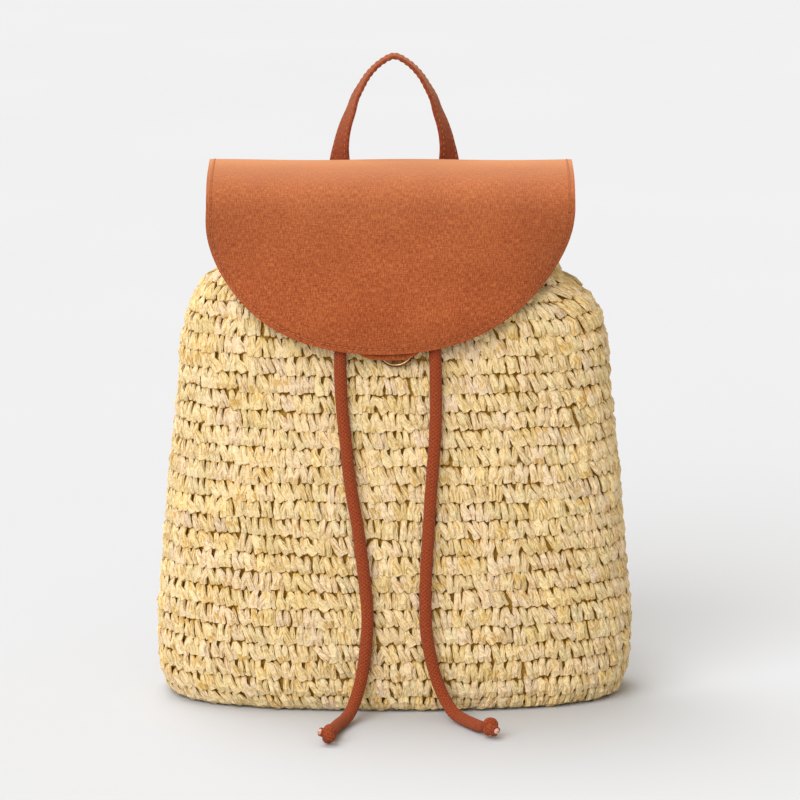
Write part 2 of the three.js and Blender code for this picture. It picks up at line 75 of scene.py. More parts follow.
def set_inputs(node, inputs):
    """Sets or links a shader node's inputs, given by name, or as a list in their own order.

    A node that is given as a value stands for its Fac or Object output, or else its first live one.
    """
    for name, value in enumerate(inputs) if isinstance(inputs, list) else dict(inputs).items():
        if isinstance(value, bpy.types.Node):
            live = [socket for socket in value.outputs if socket.enabled]
            value = next((socket for socket in live if socket.name in ("Fac", "Object")), live[0])
        if isinstance(value, bpy.types.NodeSocket):
            node.id_data.links.new(value, node.inputs[name])
        else:
            node.inputs[name].default_value = value


def add_node(tree, kind, inputs=(), stops=(), **settings):
    """Adds a shader node, with its settings, its inputs and the stops of its colour ramp."""
    made = tree.nodes.new("ShaderNode" + kind)
    for name, value in settings.items():
        setattr(made, name, value)
    if stops:
        elements = made.color_ramp.elements
        for element, (spot, colour) in zip(elements, (stops[0], stops[-1])):
            element.position, element.color = spot, linear(colour)
        for spot, colour in stops[1:-1]:
            elements.new(spot).color = linear(colour)
    set_inputs(made, inputs)
    return made


def surface(name, base):
    """A material with its node tree and its main shader, on which one surface is built."""
    made = bpy.data.materials.new(name)
    made.use_nodes = True
    shader = made.node_tree.nodes["Principled BSDF"]
    set_inputs(shader, base)
    return made, made.node_tree, shader


def mottled(name, base, dark, light, pattern, relief=None, kind="TexNoise", **settings):
    """A material that wanders between two colours in a pattern, which also raises it by relief."""
    made, tree, shader = surface(name, base)
    place = add_node(tree, "TexCoord")
    spots = add_node(tree, kind, {"Vector": place, **pattern}, **settings)
    tone = add_node(tree, "Mix", {0: spots, 6: linear(dark), 7: linear(light)}, data_type="RGBA")
    set_inputs(shader, {"Base Color": tone})
    if relief:
        strength, distance = relief
        bump = add_node(tree, "Bump", {"Height": spots, "Strength": strength, "Distance": distance})
        set_inputs(shader, {"Normal": bump})
    return made


def finished_piece(name, work, material, slot, smooth=True):
    """Turns a bmesh or a mesh into a piece with its material; given a slot, it hangs from the root body.
    """
    mesh = work
    if isinstance(work, bmesh.types.BMesh):
        mesh = bpy.data.meshes.new(name)
        work.to_mesh(mesh)
        work.free()
    mesh.polygons.foreach_set("use_smooth", [smooth] * len(mesh.polygons))
    piece = bpy.data.objects.new(name, mesh)
    bpy.context.scene.collection.objects.link(piece)
    mesh.materials.append(material)
    if slot:
        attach(piece, "root")
    return piece


view_down = math.radians(11.5)
view_target = Vector((0.0035, 0.0, 0.182))
view_distance = 3.0
frame_half_width = 0.2448
camera_data = bpy.data.cameras.new("camera")
camera_data.lens = camera_data.sensor_width / 2 * view_distance / frame_half_width
camera = bpy.data.objects.new("camera", camera_data)
view_back = Vector((0, -math.cos(view_down), math.sin(view_down)))
camera.location = view_target + view_back * view_distance
camera.rotation_euler = (math.pi / 2 - view_down, 0, 0)
bpy.context.scene.collection.objects.link(camera)
bpy.context.scene.camera = camera

# Matt painted studio floor: evenly pale, with only a faint unevenness.
floor_paint = mottled("matt_studio_floor", {"Roughness": 0.9, "Specular IOR Level": 0.1},
                      "#C3C3C4", "#C6C6C7", {"Scale": 3.0})
work = bmesh.new()
bmesh.ops.create_grid(work, x_segments=4, y_segments=4, size=14)
floor = finished_piece("studio_floor", work, floor_paint, None)
floor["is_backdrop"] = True

for name, strength, spread, heading in (
        ("front_soft_light", 2.6, 46, (0.62, 1.1, -0.9)),
        ("top_soft_light", 2.1, 40, (0.36, -0.42, -1.3))):
    light_data = bpy.data.lights.new(name, "SUN")
    light_data.energy = strength
    light_data.angle = math.radians(spread)
    light_data.color = (0.9, 0.935, 1.0)
    light = bpy.data.objects.new(name, light_data)
    light.rotation_euler = Vector(heading).to_track_quat("-Z", "Y").to_euler()
    bpy.context.scene.collection.objects.link(light)

world = bpy.data.worlds.new("pale_surround")
bpy.context.scene.world = world
world.use_nodes = True
set_inputs(world.node_tree.nodes["Background"], {"Color": (1.0, 0.935, 0.8, 1), "Strength": 0.6})
view = bpy.context.scene.view_settings
view.view_transform, view.look, view.exposure, view.gamma = "Standard", "None", 0, 1


# Drawcord ends
# Round cord with a woven cotton cover, in the flap's rust brown, 7.5 mm thick and limp. Each end
# hangs from the neck of the bag out under the flap, lies down the front and runs out on the floor.
def distances(points):
    """How far each point is along a line, from its first."""
    return np.concatenate([[0], np.cumsum(np.linalg.norm(np.diff(points, axis=0), axis=1))])


def read_along(at, run, table):
    """Interpolates each column of a table whose rows are at the places in run."""
    return np.stack([np.interp(at, run, column) for column in table.T], axis=-1)


def smooth_line(points, count):
    """Points evenly along a centripetal Catmull-Rom curve, as the solids' curves are drawn."""
    given = np.array(points, float)
    padded = np.vstack([2 * given[0] - given[1], given, 2 * given[-1] - given[-2]])
    pieces = []
    for start in range(len(given) - 1):
        p0, p1, p2, p3 = padded[start:start + 4]
        d0, d1, d2 = (max(np.linalg.norm(b - a), 1e-9) ** 0.5 for a, b in ((p0, p1), (p1, p2), (p2, p3)))
        t1 = (p1 - p0) / d0 - (p2 - p0) / (d0 + d1) + (p2 - p1) / d1
        t2 = (p2 - p1) / d1 - (p3 - p1) / (d1 + d2) + (p3 - p2) / d2
        t1, t2 = t1 * d1, t2 * d1
        t = np.linspace(0, 1, 24, endpoint=False)[:, None]
        pieces.append(p1 + t1 * t + (-3 * p1 + 3 * p2 - 2 * t1 - t2) * t ** 2
                      + (2 * p1 - 2 * p2 + t1 + t2) * t ** 3)
    dense = np.vstack([*pieces, given[-1:]])
    run = distances(dense)
    return read_along(np.linspace(0, run[-1], count), run, dense)


def line_length(points):
    return float(np.linalg.norm(np.diff(points, axis=0), axis=1).sum())


def flat_grid(work, columns, rows, flat):
    """Adds a grid whose UVs are its flat place in mm, and gives its new vertices."""
    layer = work.loops.layers.uv.active or work.loops.layers.uv.new("UVMap")
    made = bmesh.ops.create_grid(work, x_segments=columns, y_segments=rows, size=0.5)["verts"]
    for face in {face for vert in made for face in vert.link_faces}:
        for corner in face.loops:
            corner[layer].uv = flat(corner.vert.co.x + 0.5, corner.vert.co.y + 0.5)
    return made


def rolled_grid(around, along, place, flat, close_ends=True):
    """A grid rolled up into a tube: place gives each point, flat its place on the cloth in mm."""
    work = bmesh.new()
    for vert in flat_grid(work, around, along, flat):
        vert.co = place(vert.co.x + 0.5, vert.co.y + 0.5)
    bmesh.ops.remove_doubles(work, verts=work.verts[:], dist=1e-7)
    if close_ends:
        rims = [edge for edge in work.edges if edge.is_boundary]
        bmesh.ops.holes_fill(work, edges=rims, sides=0)
    bmesh.ops.recalc_face_normals(work, faces=work.faces[:])
    return work


def carried_frames(points):
    """Directions across a line that turn with it and don't twist."""
    runs = np.gradient(points, axis=0)
    runs /= np.linalg.norm(runs, axis=1)[:, None]
    side = np.cross(runs[0], [0, 1, 0])
    if np.linalg.norm(side) < 0.3:
        side = np.cross(runs[0], [1, 0, 0])
    sides = []
    for run in runs:
        side = side - run * np.dot(side, run)
        side = side / np.linalg.norm(side)
        sides.append(side)
    sides = np.array(sides)
    return runs, sides, np.cross(runs, sides)


def cord_tube(points, radius_at, around, lumps=0.0, seed=0):
    """A round tube along a line, in mm, with a slightly uneven thickness."""
    runs, sides, ups = carried_frames(points)
    total = line_length(points)
    wander = np.random.default_rng(seed).normal(0, lumps, len(points))
    wander = np.convolve(np.pad(wander, 2, mode="edge"), np.ones(5) / 5, mode="valid")

    def place(u, v):
        row = min(int(round(v * (len(points) - 1))), len(points) - 1)
        angle = 2 * math.pi * u
        reach = (radius_at(v) + wander[row]) * MM
        return points[row] * MM + (sides[row] * math.cos(angle) + ups[row] * math.sin(angle)) * reach

    return rolled_grid(around, len(points) - 1, place, lambda u, v: (u * 24, v * total))


# Cotton cord cover, dyed rust brown and woven round the cord: slanting yarns give a fine rope-like
# texture, with painted shade darkening the grooves between the yarns, and in large patches of wear
# the dye evens out to a plain rust. The yarns are really about 1 mm apart, and are drawn 2 mm apart
# so that they show.
cord_cover, tree, shader = surface("woven_cotton_cord_cover", {
    "Roughness": 0.86, "Specular IOR Level": 0.25, "Sheen Weight": 0.18, "Sheen Roughness": 0.5,
    "Sheen Tint": linear("#F0B08C")})
cord_uv = add_node(tree, "UVMap", uv_map="UVMap")
yarns = []
for slant in (52, -52):
    lay = add_node(tree, "Mapping", {"Vector": cord_uv, "Rotation": (0, 0, math.radians(slant))})
    yarns.append(add_node(tree, "TexWave", {
        "Vector": lay, "Scale": 0.17, "Distortion": 2.2, "Detail": 1.0}))
weave = add_node(tree, "Math", yarns, operation="MAXIMUM")
fuzz = add_node(tree, "TexNoise", {
    "Vector": cord_uv, "Scale": 0.75, "Detail": 3.0, "Roughness": 0.7})
patch = add_node(tree, "TexNoise", {"Vector": cord_uv, "Scale": 0.07, "Detail": 2.0})
dyed = add_node(tree, "ValToRGB", {"Fac": fuzz}, stops=((0.36, "#70260C"), (0.64, "#B25424")))
rubbed_and_painted_light = add_node(tree, "Mix", {0: patch, 6: dyed, 7: linear("#98401A")}, data_type="RGBA")
# Painted shade: the weave's grooves take a dark rust, and its yarn tops the dyed colour.
yarn_grain_and_groove_shade = add_node(tree, "Mix", {0: weave, 6: linear("#7A2B10"), 7: rubbed_and_painted_light}, data_type="RGBA")
relief = add_node(tree, "Math", [weave, fuzz], operation="ADD")
bump = add_node(tree, "Bump", {"Height": relief, "Strength": 0.8, "Distance": 0.0006})
set_inputs(shader, {"Base Color": yarn_grain_and_groove_shade, "Normal": bump})

# Undyed cotton core that shows where the cord is cut: pale, matt and stringy.
cut_core = mottled("undyed_cotton_core", {"Roughness": 0.9, "Specular IOR Level": 0.2},
                   "#C2937B", "#E6CBBA", {"Scale": 1400.0}, relief=(0.6, 0.0005))

cord_width = 7.5
knot_radius = 2.75
fray_count, fray_length = 14, 1.6
end_routes = {
    "left": [
        (-22.6, -26.8, 283), (-20, -27.1, 283), (-17, -29.7, 282), (-15.2, -34, 278), (-16.2, -39.5, 271),
        (-19.5, -46, 263.5), (-23.2, -51.8, 255.5), (-27.2, -56.7, 247.5), (-30.5, -59.8, 237),
        (-32.2, -61.2, 222), (-32, -62.4, 204), (-30.9, -63, 186), (-29.2, -63.7, 170),
        (-27, -64.7, 148.4), (-24.8, -65.3, 133.5), (-22.2, -65.8, 119), (-19.5, -66.5, 98),
        (-17.2, -67, 78), (-16.1, -67.3, 60), (-17.3, -67.7, 42), (-19.4, -68.7, 26.5),
        (-22.6, -73, 14.5), (-26.4, -82, 6.8), (-30, -91, 4.3), (-33.6, -101, 4.05),
        (-36.2, -111, 4.05), (-37.8, -124.6, 5.2)],
    "right": [
        (22.6, -26.8, 283), (20, -27.1, 283), (17, -29.7, 282), (15.2, -34, 278), (15.9, -39.5, 271),
        (18, -46, 263.5), (20.4, -51.8, 255.5), (22.3, -56.7, 247.5), (23.6, -59.8, 237),
        (24.5, -61.2, 222), (24.9, -62.4, 204), (25, -63, 186), (24.3, -63.8, 167.8),
        (22.8, -64.7, 148.4), (21.5, -65.5, 128.8), (20.3, -66.1, 109), (19.2, -66.8, 89.7),
        (18.8, -67.2, 70), (19.7, -67.5, 50.4), (22.6, -68, 34.6), (26.4, -69.7, 21.5),
        (31, -74.5, 12), (36, -82, 6.2), (40.5, -87.5, 4.3), (45.4, -95.5, 4.05),
        (50.2, -103.6, 4.1), (54.3, -110.9, 5.3)],
}
# Which way the cut end looks out of each knot.
cut_ways = {"left": (-0.86, -0.38, 0.33), "right": (0.52, -0.78, -0.12)}

for side, route in end_routes.items():
    # The cord squeezes in where it enters its knot.
    line = smooth_line(route, 170)
    squeeze = lambda v: cord_width / 2 * (1 - 0.22 * max(0, (v - 0.972) / 0.028) ** 2)
    work = cord_tube(line, squeeze, 14, lumps=0.1, seed=3 if side == "left" else 4)
    end = finished_piece(f"drawcord_end_{side}_cover", work, cord_cover, "cord")
    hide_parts(f"drawcord_end_{side}")

    # Overhand knot: the cord's turns, squeezed thin, round each other.
    low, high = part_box(f"knot_{side}")
    centre = (Vector(low) + Vector(high)) / 2 / MM
    heading = Vector(line[-1] - line[-4]).normalized()
    turn = Vector((0, 0, 1)).rotation_difference(heading.cross(Vector((0, 0, 1)))).to_matrix()
    angles = np.linspace(0, 2 * math.pi, 61)
    loop = np.stack([np.sin(angles) + 2 * np.sin(2 * angles), np.cos(angles) - 2 * np.cos(2 * angles),
                     -1.15 * np.sin(3 * angles)], axis=1) * 1.17
    loop = loop @ np.array(turn).T + np.array(centre)
    work = cord_tube(loop, lambda v: knot_radius, 12)
    inner = bmesh.ops.create_icosphere(work, subdivisions=2, radius=3.6 * MM)
    bmesh.ops.translate(work, verts=inner["verts"], vec=centre * MM)
    knot = finished_piece(f"knot_{side}_turns", work, cord_cover, "cord")
    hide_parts(f"knot_{side}")

    # The cut end: a short stub of cover with the pale core fraying out of it.
    way = Vector(cut_ways[side]).normalized()
    stub = np.array([centre + way * reach for reach in np.linspace(2.2, 6.2, 7)])
    work = cord_tube(stub, lambda v: 3.0 - 0.35 * v, 12)
    stub_piece = finished_piece(f"knot_{side}_cut_end", work, cord_cover, "cord")
    core = np.array([centre + way * reach for reach in np.linspace(3.0, 6.7, 5)])
    work = cord_tube(core, lambda v: 2.15 - 0.5 * v ** 2, 10)
    draws = np.random.default_rng(11 if side == "left" else 12)
    for _ in range(fray_count):
        lean = Vector(draws.normal(0, 0.33, 3)) + way
        root = centre + way * 6.0 + Vector(draws.normal(0, 0.75, 3))
        made = bmesh.ops.create_cone(
            work, cap_ends=True, segments=5, radius1=0.45 * MM, radius2=0.12 * MM,
            depth=fray_length * MM)
        spin = Vector((0, 0, 1)).rotation_difference(lean.normalized()).to_matrix().to_4x4()
        move = Matrix.Translation((root + lean.normalized() * 0.7) * MM)
        bmesh.ops.transform(work, matrix=move @ spin, verts=made["verts"])
    core_piece = finished_piece(f"knot_{side}_frayed_core", work, cut_core, "cord")


# Crocheted straw wall
# Paper straw worked in rounds of single crochet, up from an oval base. The wall is about 4 mm
# thick. Its inner half is this shell, coloured with painted shade, which shows as shaded straw
# between the stitches.
bag_half_width = 144.5
bag_half_depth = 63.0
bag_height = 312.0
front_square = 2.5
gather_folds = 6
gather_depth = 6.6
flat_back = 0.39
fold_share = (1 - flat_back) / gather_folds
# Height, half width, front depth, back depth, squareness of the back corners, gather.
bag_rows = np.array([
    (0.0, .907, .825, .794, 2.6, 0), (.008, .945, .905, .873, 2.6, 0), (.026, .972, .968, .929, 2.6, 0),
    (.051, .99, .992, .952, 2.6, 0), (.103, 1, 1, .952, 2.7, 0), (.179, .998, 1, .937, 2.7, 0),
    (.282, .976, .992, .905, 2.8, 0), (.401, .957, .976, .857, 2.9, 0), (.522, .929, .952, .802, 3, 0),
    (.622, .904, .929, .754, 3.2, 0), (.702, .894, .905, .714, 3.4, 0), (.76, .865, .873, .683, 3.8, 0),
    (.792, .824, .817, .659, 4.2, .12), (.821, .754, .73, .635, 4.8, .38),
    (.853, .699, .627, .611, 5.4, .72), (.881, .678, .524, .587, 6, .95), (.907, .671, .46, .579, 6, 1),
    (.936, .671, .452, .571, 6, 1), (.971, .675, .444, .571, 6, 1), (1, .682, .444, .571, 6, 1)])
base_lift = 0.9
base_reach = 50.0
share_count = 720


def bag_values(height):
    """Half width, front and back depth, squareness and gather at a height, in mm."""
    values = read_along(height / bag_height, bag_rows[:, 0], bag_rows[:, 1:])
    return values * (bag_half_width, bag_half_depth, bag_half_depth, 1, gather_depth)


def bag_back(across, height):
    half, _, back, square, _ = bag_values(height)
    return back * (1 - min(abs(across) / half, 1) ** square) ** (1 / square)


def eased(values, low, high):
    """0 up to low, 1 from high on, and a smooth rise between them."""
    share = np.clip((values - low) / (high - low), 0, 1)
    return share ** 2 * (3 - 2 * share)


def fold_height(share):
    """How far the gathers stand out along the wall: nothing along the flat back."""
    fade = eased((1 - flat_back) / 2 - np.abs(share - 0.5), 0, fold_share / 2)
    return fade * np.cos(2 * np.pi * (share - 0.5) / fold_share)


def squared(turn, power):
    """A sine or a cosine pressed outwards, which makes a round outline a rounded square."""
    return np.sign(turn) * np.abs(turn) ** power


def wall_ring(height, inset, gathered=True):
    """The wall's outline at a height, as even points from the middle of the back towards +X."""
    half, front, back, square, gather = bag_values(height)
    angle = np.linspace(0, 2 * np.pi, 1441)
    side, rear = np.sin(angle), np.cos(angle)
    power = np.where(rear > 0, square, front_square)
    depth = np.where(rear > 0, back, front) - inset
    x, y = squared(side, 2 / power) * (half - inset), squared(rear, 2 / power) * depth
    run = np.concatenate([[0], np.cumsum(np.hypot(np.diff(x), np.diff(y)))])
    share = np.arange(share_count) / share_count
    x, y = (np.interp(share * run[-1], run, values) for values in (x, y))
    if gathered and gather > 0:
        dx, dy = np.roll(x, -3) - np.roll(x, 3), np.roll(y, -3) - np.roll(y, 3)
        size, fold = np.hypot(dx, dy), fold_height(share)
        x, y = x - dy / size * fold * gather, y + dx / size * fold * gather
    return np.stack([x, y], axis=1)


# The wall's outer face as a table: rows go from the middle of the base out to its edge, round the
# bottom corner and up to the rim, and the distance along them is the way that the crochet grew.
side_heights = np.concatenate([
    [0, 1.2, 2.5, 4, 6, 8.1, 10.5, 13, 16, 20], np.arange(24, bag_height + 1, 3)])
base_insets = np.arange(base_reach, 0, -2.5)
wall_rings = [wall_ring(0, inset) for inset in base_insets] + [wall_ring(h, 0) for h in side_heights]
wall_levels = np.concatenate([
    np.full(len(base_insets), base_lift), np.maximum(side_heights, base_lift + side_heights * 0.6)])
wall_points = np.stack([
    np.column_stack([ring, np.full(share_count, level)]) for ring, level in zip(wall_rings, wall_levels)])
middle_reach = (np.abs(wall_points[:, :, :2]).max(axis=1) * 0.5).sum(axis=1)
grown = np.concatenate([[0], np.cumsum(np.hypot(np.diff(middle_reach), np.diff(wall_levels)))])
# The soft wall slumps outwards at the left shoulder, just under the flap, and inwards at the right.
for edge, reach, level in ((-1, 5.0, 255), (1, -4.2, 262)):
    slump = reach * np.exp(-((wall_points[:, :, 2] - level) / 11.0) ** 2)
    wall_points[:, :, 0] += edge * slump * np.clip((edge * wall_points[:, :, 0] - 65) / 35, 0, 1) ** 2
along_rows = np.gradient(wall_points, axis=0)
along_rounds = np.roll(wall_points, -2, axis=1) - np.roll(wall_points, 2, axis=1)
wall_normals = np.cross(along_rows, along_rounds)
wall_normals /= np.linalg.norm(wall_normals, axis=2)[:, :, None] + 1e-12
round_lengths = np.linalg.norm(
    np.diff(np.concatenate([wall_points, wall_points[:, :1]], axis=1), axis=1), axis=2).sum(axis=1)


def on_wall(way, share, out):
    """Points on the wall, in mm: way is how far up the crochet, share round it, out off its face."""
    row = np.clip(np.interp(way, grown, np.arange(len(grown))), 0, len(grown) - 1.001)
    column = np.mod(share, 1) * share_count
    r, c = row.astype(int), column.astype(int) % share_count
    fr, fc = (row - r)[..., None], (column - np.floor(column))[..., None]
    c2 = (c + 1) % share_count
    mix = lambda table: ((table[r, c] * (1 - fc) + table[r, c2] * fc) * (1 - fr)
                         + (table[r + 1, c] * (1 - fc) + table[r + 1, c2] * fc) * fr)
    return mix(wall_points) + mix(wall_normals) * np.asarray(out)[..., None]


# The drawcord's woven stretch lies in the middle of the wall and inside along the flat back.
cord_level = 283.0
ring_shares = np.mod(0.5 + fold_share / 2 + (1 - fold_share) * np.linspace(0, 1, 240), 1)
off_back = eased((1 - flat_back) / 2 - np.abs(ring_shares - 0.5), 0, fold_share * 0.6)
ring_insets = (2 + (1 - off_back) * 6.2).round(1)
ring_outlines = {inset: wall_ring(cord_level, inset, gathered=False) for inset in set(ring_insets)}
ring_line = np.array([
    [*ring_outlines[inset][int(share * share_count) % share_count], cord_level]
    for share, inset in zip(ring_shares, ring_insets)])
ring_line = smooth_line(ring_line[::5].tolist() + [ring_line[-1].tolist()], 260)


def cord_distance(points):
    """How far points are from the woven cord's middle line, in mm."""
    flat = points.reshape(-1, 3)
    near = np.full(len(flat), 1e9)
    for place in ring_line:
        near = np.minimum(near, ((flat - place) ** 2).sum(axis=1))
    return np.sqrt(near).reshape(points.shape[:-1])


# Painted shade behind the stitches: the same paper straw painted as if little light reaches it,
# golden brown, with the stringy fibres of twisted paper.
painted_shade_straw, tree, shader = surface("painted_shade_paper_straw", {
    "Roughness": 0.85, "Specular IOR Level": 0.15})
wall_uv = add_node(tree, "UVMap", uv_map="UVMap")
stretched = add_node(tree, "Mapping", {"Vector": wall_uv, "Scale": (0.35, 1.1, 1)})
strings = add_node(tree, "TexNoise", {
    "Vector": stretched, "Scale": 0.5, "Detail": 4.0, "Roughness": 0.7})
# Painted shade: this golden-brown ramp stands for straw lying in shade between the stitches.
shade = add_node(tree, "ValToRGB", {"Fac": strings}, stops=((0.3, "#A0701C"), (0.75, "#DFAE48")))
bump = add_node(tree, "Bump", {"Height": strings, "Strength": 0.7, "Distance": 0.0012})
set_inputs(shader, {"Base Color": shade, "Normal": bump})

shell_depth = 3.0
shell_thickness = 1.0
shell_off_cord = 6.0
shell_top = grown[-1] - 1.5
shell_columns, shell_rows = 132, 92
work = bmesh.new()
verts = flat_grid(work, shell_columns, shell_rows, lambda u, v: (u * 700, v * shell_top))
spots = np.array([vert.co[:2] for vert in verts]) + 0.5
inside = np.full(len(spots), -shell_depth)
for vert, place in zip(verts, on_wall(spots[:, 1] * shell_top, -spots[:, 0], inside)):
    vert.co = place * MM
bmesh.ops.remove_doubles(work, verts=work.verts[:], dist=1e-6)
centres = np.array([face.calc_center_median() for face in work.faces]) / MM
close = [face for face, far in zip(work.faces[:], cord_distance(centres)) if far < shell_off_cord]
bmesh.ops.delete(work, geom=close, context="FACES")
middle = [edge for edge in work.edges if edge.is_boundary and max(v.co.z for v in edge.verts) < 0.02]
bmesh.ops.edgeloop_fill(work, edges=middle)
for face in work.faces:
    face.normal_update()
shell = finished_piece("straw_wall_inner", work, painted_shade_straw, "straw")
thick = shell.modifiers.new("wall_thickness", "SOLIDIFY")
thick.thickness = shell_thickness * MM
thick.offset = -1
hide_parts("straw_body")


# Straw stitches
# Each stitch is two flattened strands of twisted paper side by side, a broad and a narrower one,
# that lean to the left at their tops. Their feet go into the round below, and a narrow dark notch
# stays between their tops.
row_pitch = 11.0
stitch_pitch = 8.2
stitches_off_cord = 6.4
smallest_round, top_round_drop = 6.0, 5.2


def strand(work, stations, draws, around=7):
    """A crumpled strand through stations of (across, up, out, half width, half thickness, lean)."""
    stations = np.array(stations, float)
    along = len(stations) - 1
    made = flat_grid(work, around, along, lambda u, v: (u * 14, v * 13))
    runs = np.gradient(stations[:, :3], axis=0)
    crumple = 1 + draws.normal(0, 0.2, (along + 1, around))
    for vert in made:
        row = int(round((vert.co.y + 0.5) * along))
        column = int(round((vert.co.x + 0.5) * around)) % around
        angle = 2 * math.pi * column / around + 0.4
        run = Vector(runs[row]).normalized()
        out = Vector((math.sin(stations[row, 5]), 0, math.cos(stations[row, 5])))
        side = run.cross(out).normalized()
        out = side.cross(run).normalized()
        reach = crumple[row, column]
        vert.co = (Vector(stations[row, :3]) + side * math.cos(angle) * stations[row, 3] * reach
                   + out * math.sin(angle) * stations[row, 4] * reach)


def taken_apart(work):
    """A bmesh as numbers: its points, the corners of its faces, and the corners' UVs."""
    bmesh.ops.recalc_face_normals(work, faces=work.faces[:])
    work.verts.index_update()
    layer = work.loops.layers.uv.verify()
    points = np.array([vert.co for vert in work.verts])
    faces = [[vert.index for vert in face.verts] for face in work.faces]
    uvs = [[tuple(corner[layer].uv) for corner in face.loops] for face in work.faces]
    work.free()
    return points, faces, uvs


def stitch_template(seed):
    """One V of straw about its own middle, in mm: x along the round, y up, z out of the wall."""
    draws = np.random.default_rng(seed)
    wobble = lambda size: draws.normal(0, size)
    work = bmesh.new()
    wide, thin = 2.5 + wobble(0.25), 2.05 + wobble(0.25)
    lean, bulge, splay = wobble(0.5), wobble(0.3), draws.uniform(-0.2, 2.0)
    strand(work, [
        (-4.1 + wobble(.3), 6.8, -3.6, 0, 0, -.2),
        (-3.5 + wobble(.3), 5.0 + wobble(.2), -1.45 + wobble(.2), wide * .8, 1.05, -.2),
        (-2.5 + wobble(.3), 1.7 + wobble(.3), -0.75 + wobble(.2), wide * .97, 1.45, -.1 + wobble(.2)),
        (-1.3 + wobble(.3), -1.7 + wobble(.3), -0.35 + bulge, wide * 1.06, 1.6, .05 + wobble(.2)),
        (lean - 0.3, -4.9 + wobble(.2), -0.65 + bulge, wide * .98, 1.3, .1 + wobble(.15)),
        (lean + 0.1, -6.6, -3.4, 0, 0, .2)], draws)
    strand(work, [
        (0.6 + splay * 1.15, 6.7, -3.6, 0, 0, .3),
        (0.9 + splay, 4.8 + wobble(.2), -1.75 + wobble(.2), thin * .76, 0.9, .2),
        (1.7 + splay * .45 + wobble(.2), 1.3 + wobble(.3), -1.1 + wobble(.2), thin, 1.3,
         .15 + wobble(.2)),
        (2.6 + wobble(.3), -2.1 + wobble(.3), -0.75 + wobble(.25), thin * 1.08, 1.4, .1 + wobble(.2)),
        (lean * .5 + 3.6 - splay * .45, -5.0 + wobble(.2), -1.0, thin * .98, 1.2, .05),
        (lean * .5 + 3.8 - splay * .5, -6.5, -3.4, 0, 0, 0)], draws)
    bmesh.ops.remove_doubles(work, verts=work.verts[:], dist=1e-5)
    return taken_apart(work)


templates = [stitch_template(seed) for seed in range(8)]


def straw_piece(name, stitches, place_out=on_wall):
    """Joins stitches of (way, share, size, turn, out, template, tone, tint, stretch) on the wall."""
    points, faces, uvs, tones, tints, depths = [], [], [], [], [], []
    start = 0
    for way, share, size, turn, out, kind, tone, tint, stretch in stitches:
        local, quads, flats = templates[int(kind)]
        x = local[:, 0] * math.cos(turn) - local[:, 1] * math.sin(turn)
        y = local[:, 0] * math.sin(turn) + local[:, 1] * math.cos(turn)
        across = share - x * size * stretch / np.interp(way, grown, round_lengths)
        points.append(np.stack([way + y * size, across, local[:, 2] + out], axis=1))
        faces += [[index + start for index in quad] for quad in quads]
        shift = (tone * 97 % 13, tint * 89 % 17)
        uvs += [(u + shift[0], v + shift[1]) for flat in flats for u, v in flat]
        tones += [tone] * len(local)
        tints += [tint] * len(local)
        depths += (-local[:, 2] / 3.0).tolist()
        start += len(local)
    places = place_out(*np.concatenate(points).T) * MM
    places[:, 2] = np.maximum(places[:, 2], 0.0002)
    mesh = bpy.data.meshes.new(name)
    mesh.from_pydata(places.tolist(), [], faces)
    mesh.uv_layers.new(name="UVMap").data.foreach_set("uv", np.array(uvs, np.float32).ravel())
    for title, values in (("straw_tone", tones), ("straw_tint", tints), ("straw_depth", depths)):
        layer = mesh.attributes.new(title, "FLOAT", "POINT")
        layer.data.foreach_set("value", np.array(values, np.float32))
    finished_piece(name, mesh, paper_straw, "straw", smooth=False)


# Twisted paper straw, matt with a slight sheen: cream, with strands that turn pinkish, straw
# yellow or tan. Painted shade darkens the creases that run along each strand about 0.8 mm apart,
# and painted warm shade turns it golden deep between the strands, where the light comes from
# straw to straw. Its blotches are partly the paper's uneven tone and partly painted highlight
# on the raised crumples.
paper_straw, tree, shader = surface("twisted_paper_straw", {
    "Roughness": 0.68, "Specular IOR Level": 0.18})
straw_uv = add_node(tree, "UVMap", uv_map="UVMap")
tone, tint, depth = (add_node(tree, "Attribute", attribute_name=name)
                     for name in ("straw_tone", "straw_tint", "straw_depth"))
straw_colour = add_node(tree, "ValToRGB", {"Fac": tint}, stops=(
    (0, "#FBE1A8"), (0.22, "#FCE2AF"), (0.42, "#FBDFB8"), (0.62, "#FBDEA8"), (0.8, "#F9DC9C"),
    (0.9, "#F9DAA1"), (1, "#FCE6B6")))
creased = add_node(tree, "Mapping", {"Vector": straw_uv, "Scale": (0.75, 0.17, 1)})
creases = add_node(tree, "TexNoise", {
    "Vector": creased, "Scale": 1.0, "Detail": 2.0, "Roughness": 0.55})
crumples = add_node(tree, "TexNoise", {
    "Vector": straw_uv, "Scale": 0.8, "Detail": 2.0, "Roughness": 0.6})
# Painted shade: the crease mask darkens and warms the straw colour in each crease.
crease_lit = add_node(tree, "MapRange", [creases, 0.34, 0.46, 0.0, 1.0])
painted_crease_shade = add_node(tree, "Mix", {
    0: crease_lit, 6: (0.79, 0.62, 0.3, 1), 7: (1, 1, 1, 1)}, data_type="RGBA")
# Painted warm shade: deep parts of each strand turn golden and darker.
deep = add_node(tree, "MapRange", [depth, 0.16, 0.62, 0.0, 1.0])
golden = add_node(tree, "Mix", {0: deep, 6: painted_crease_shade, 7: (1.0, 0.77, 0.3, 1)}, data_type="RGBA")
tinted = add_node(tree, "VectorMath", [straw_colour, golden], operation="MULTIPLY")
lightness = add_node(tree, "MapRange", [tone, 0.0, 1.0, 0.74, 0.9])
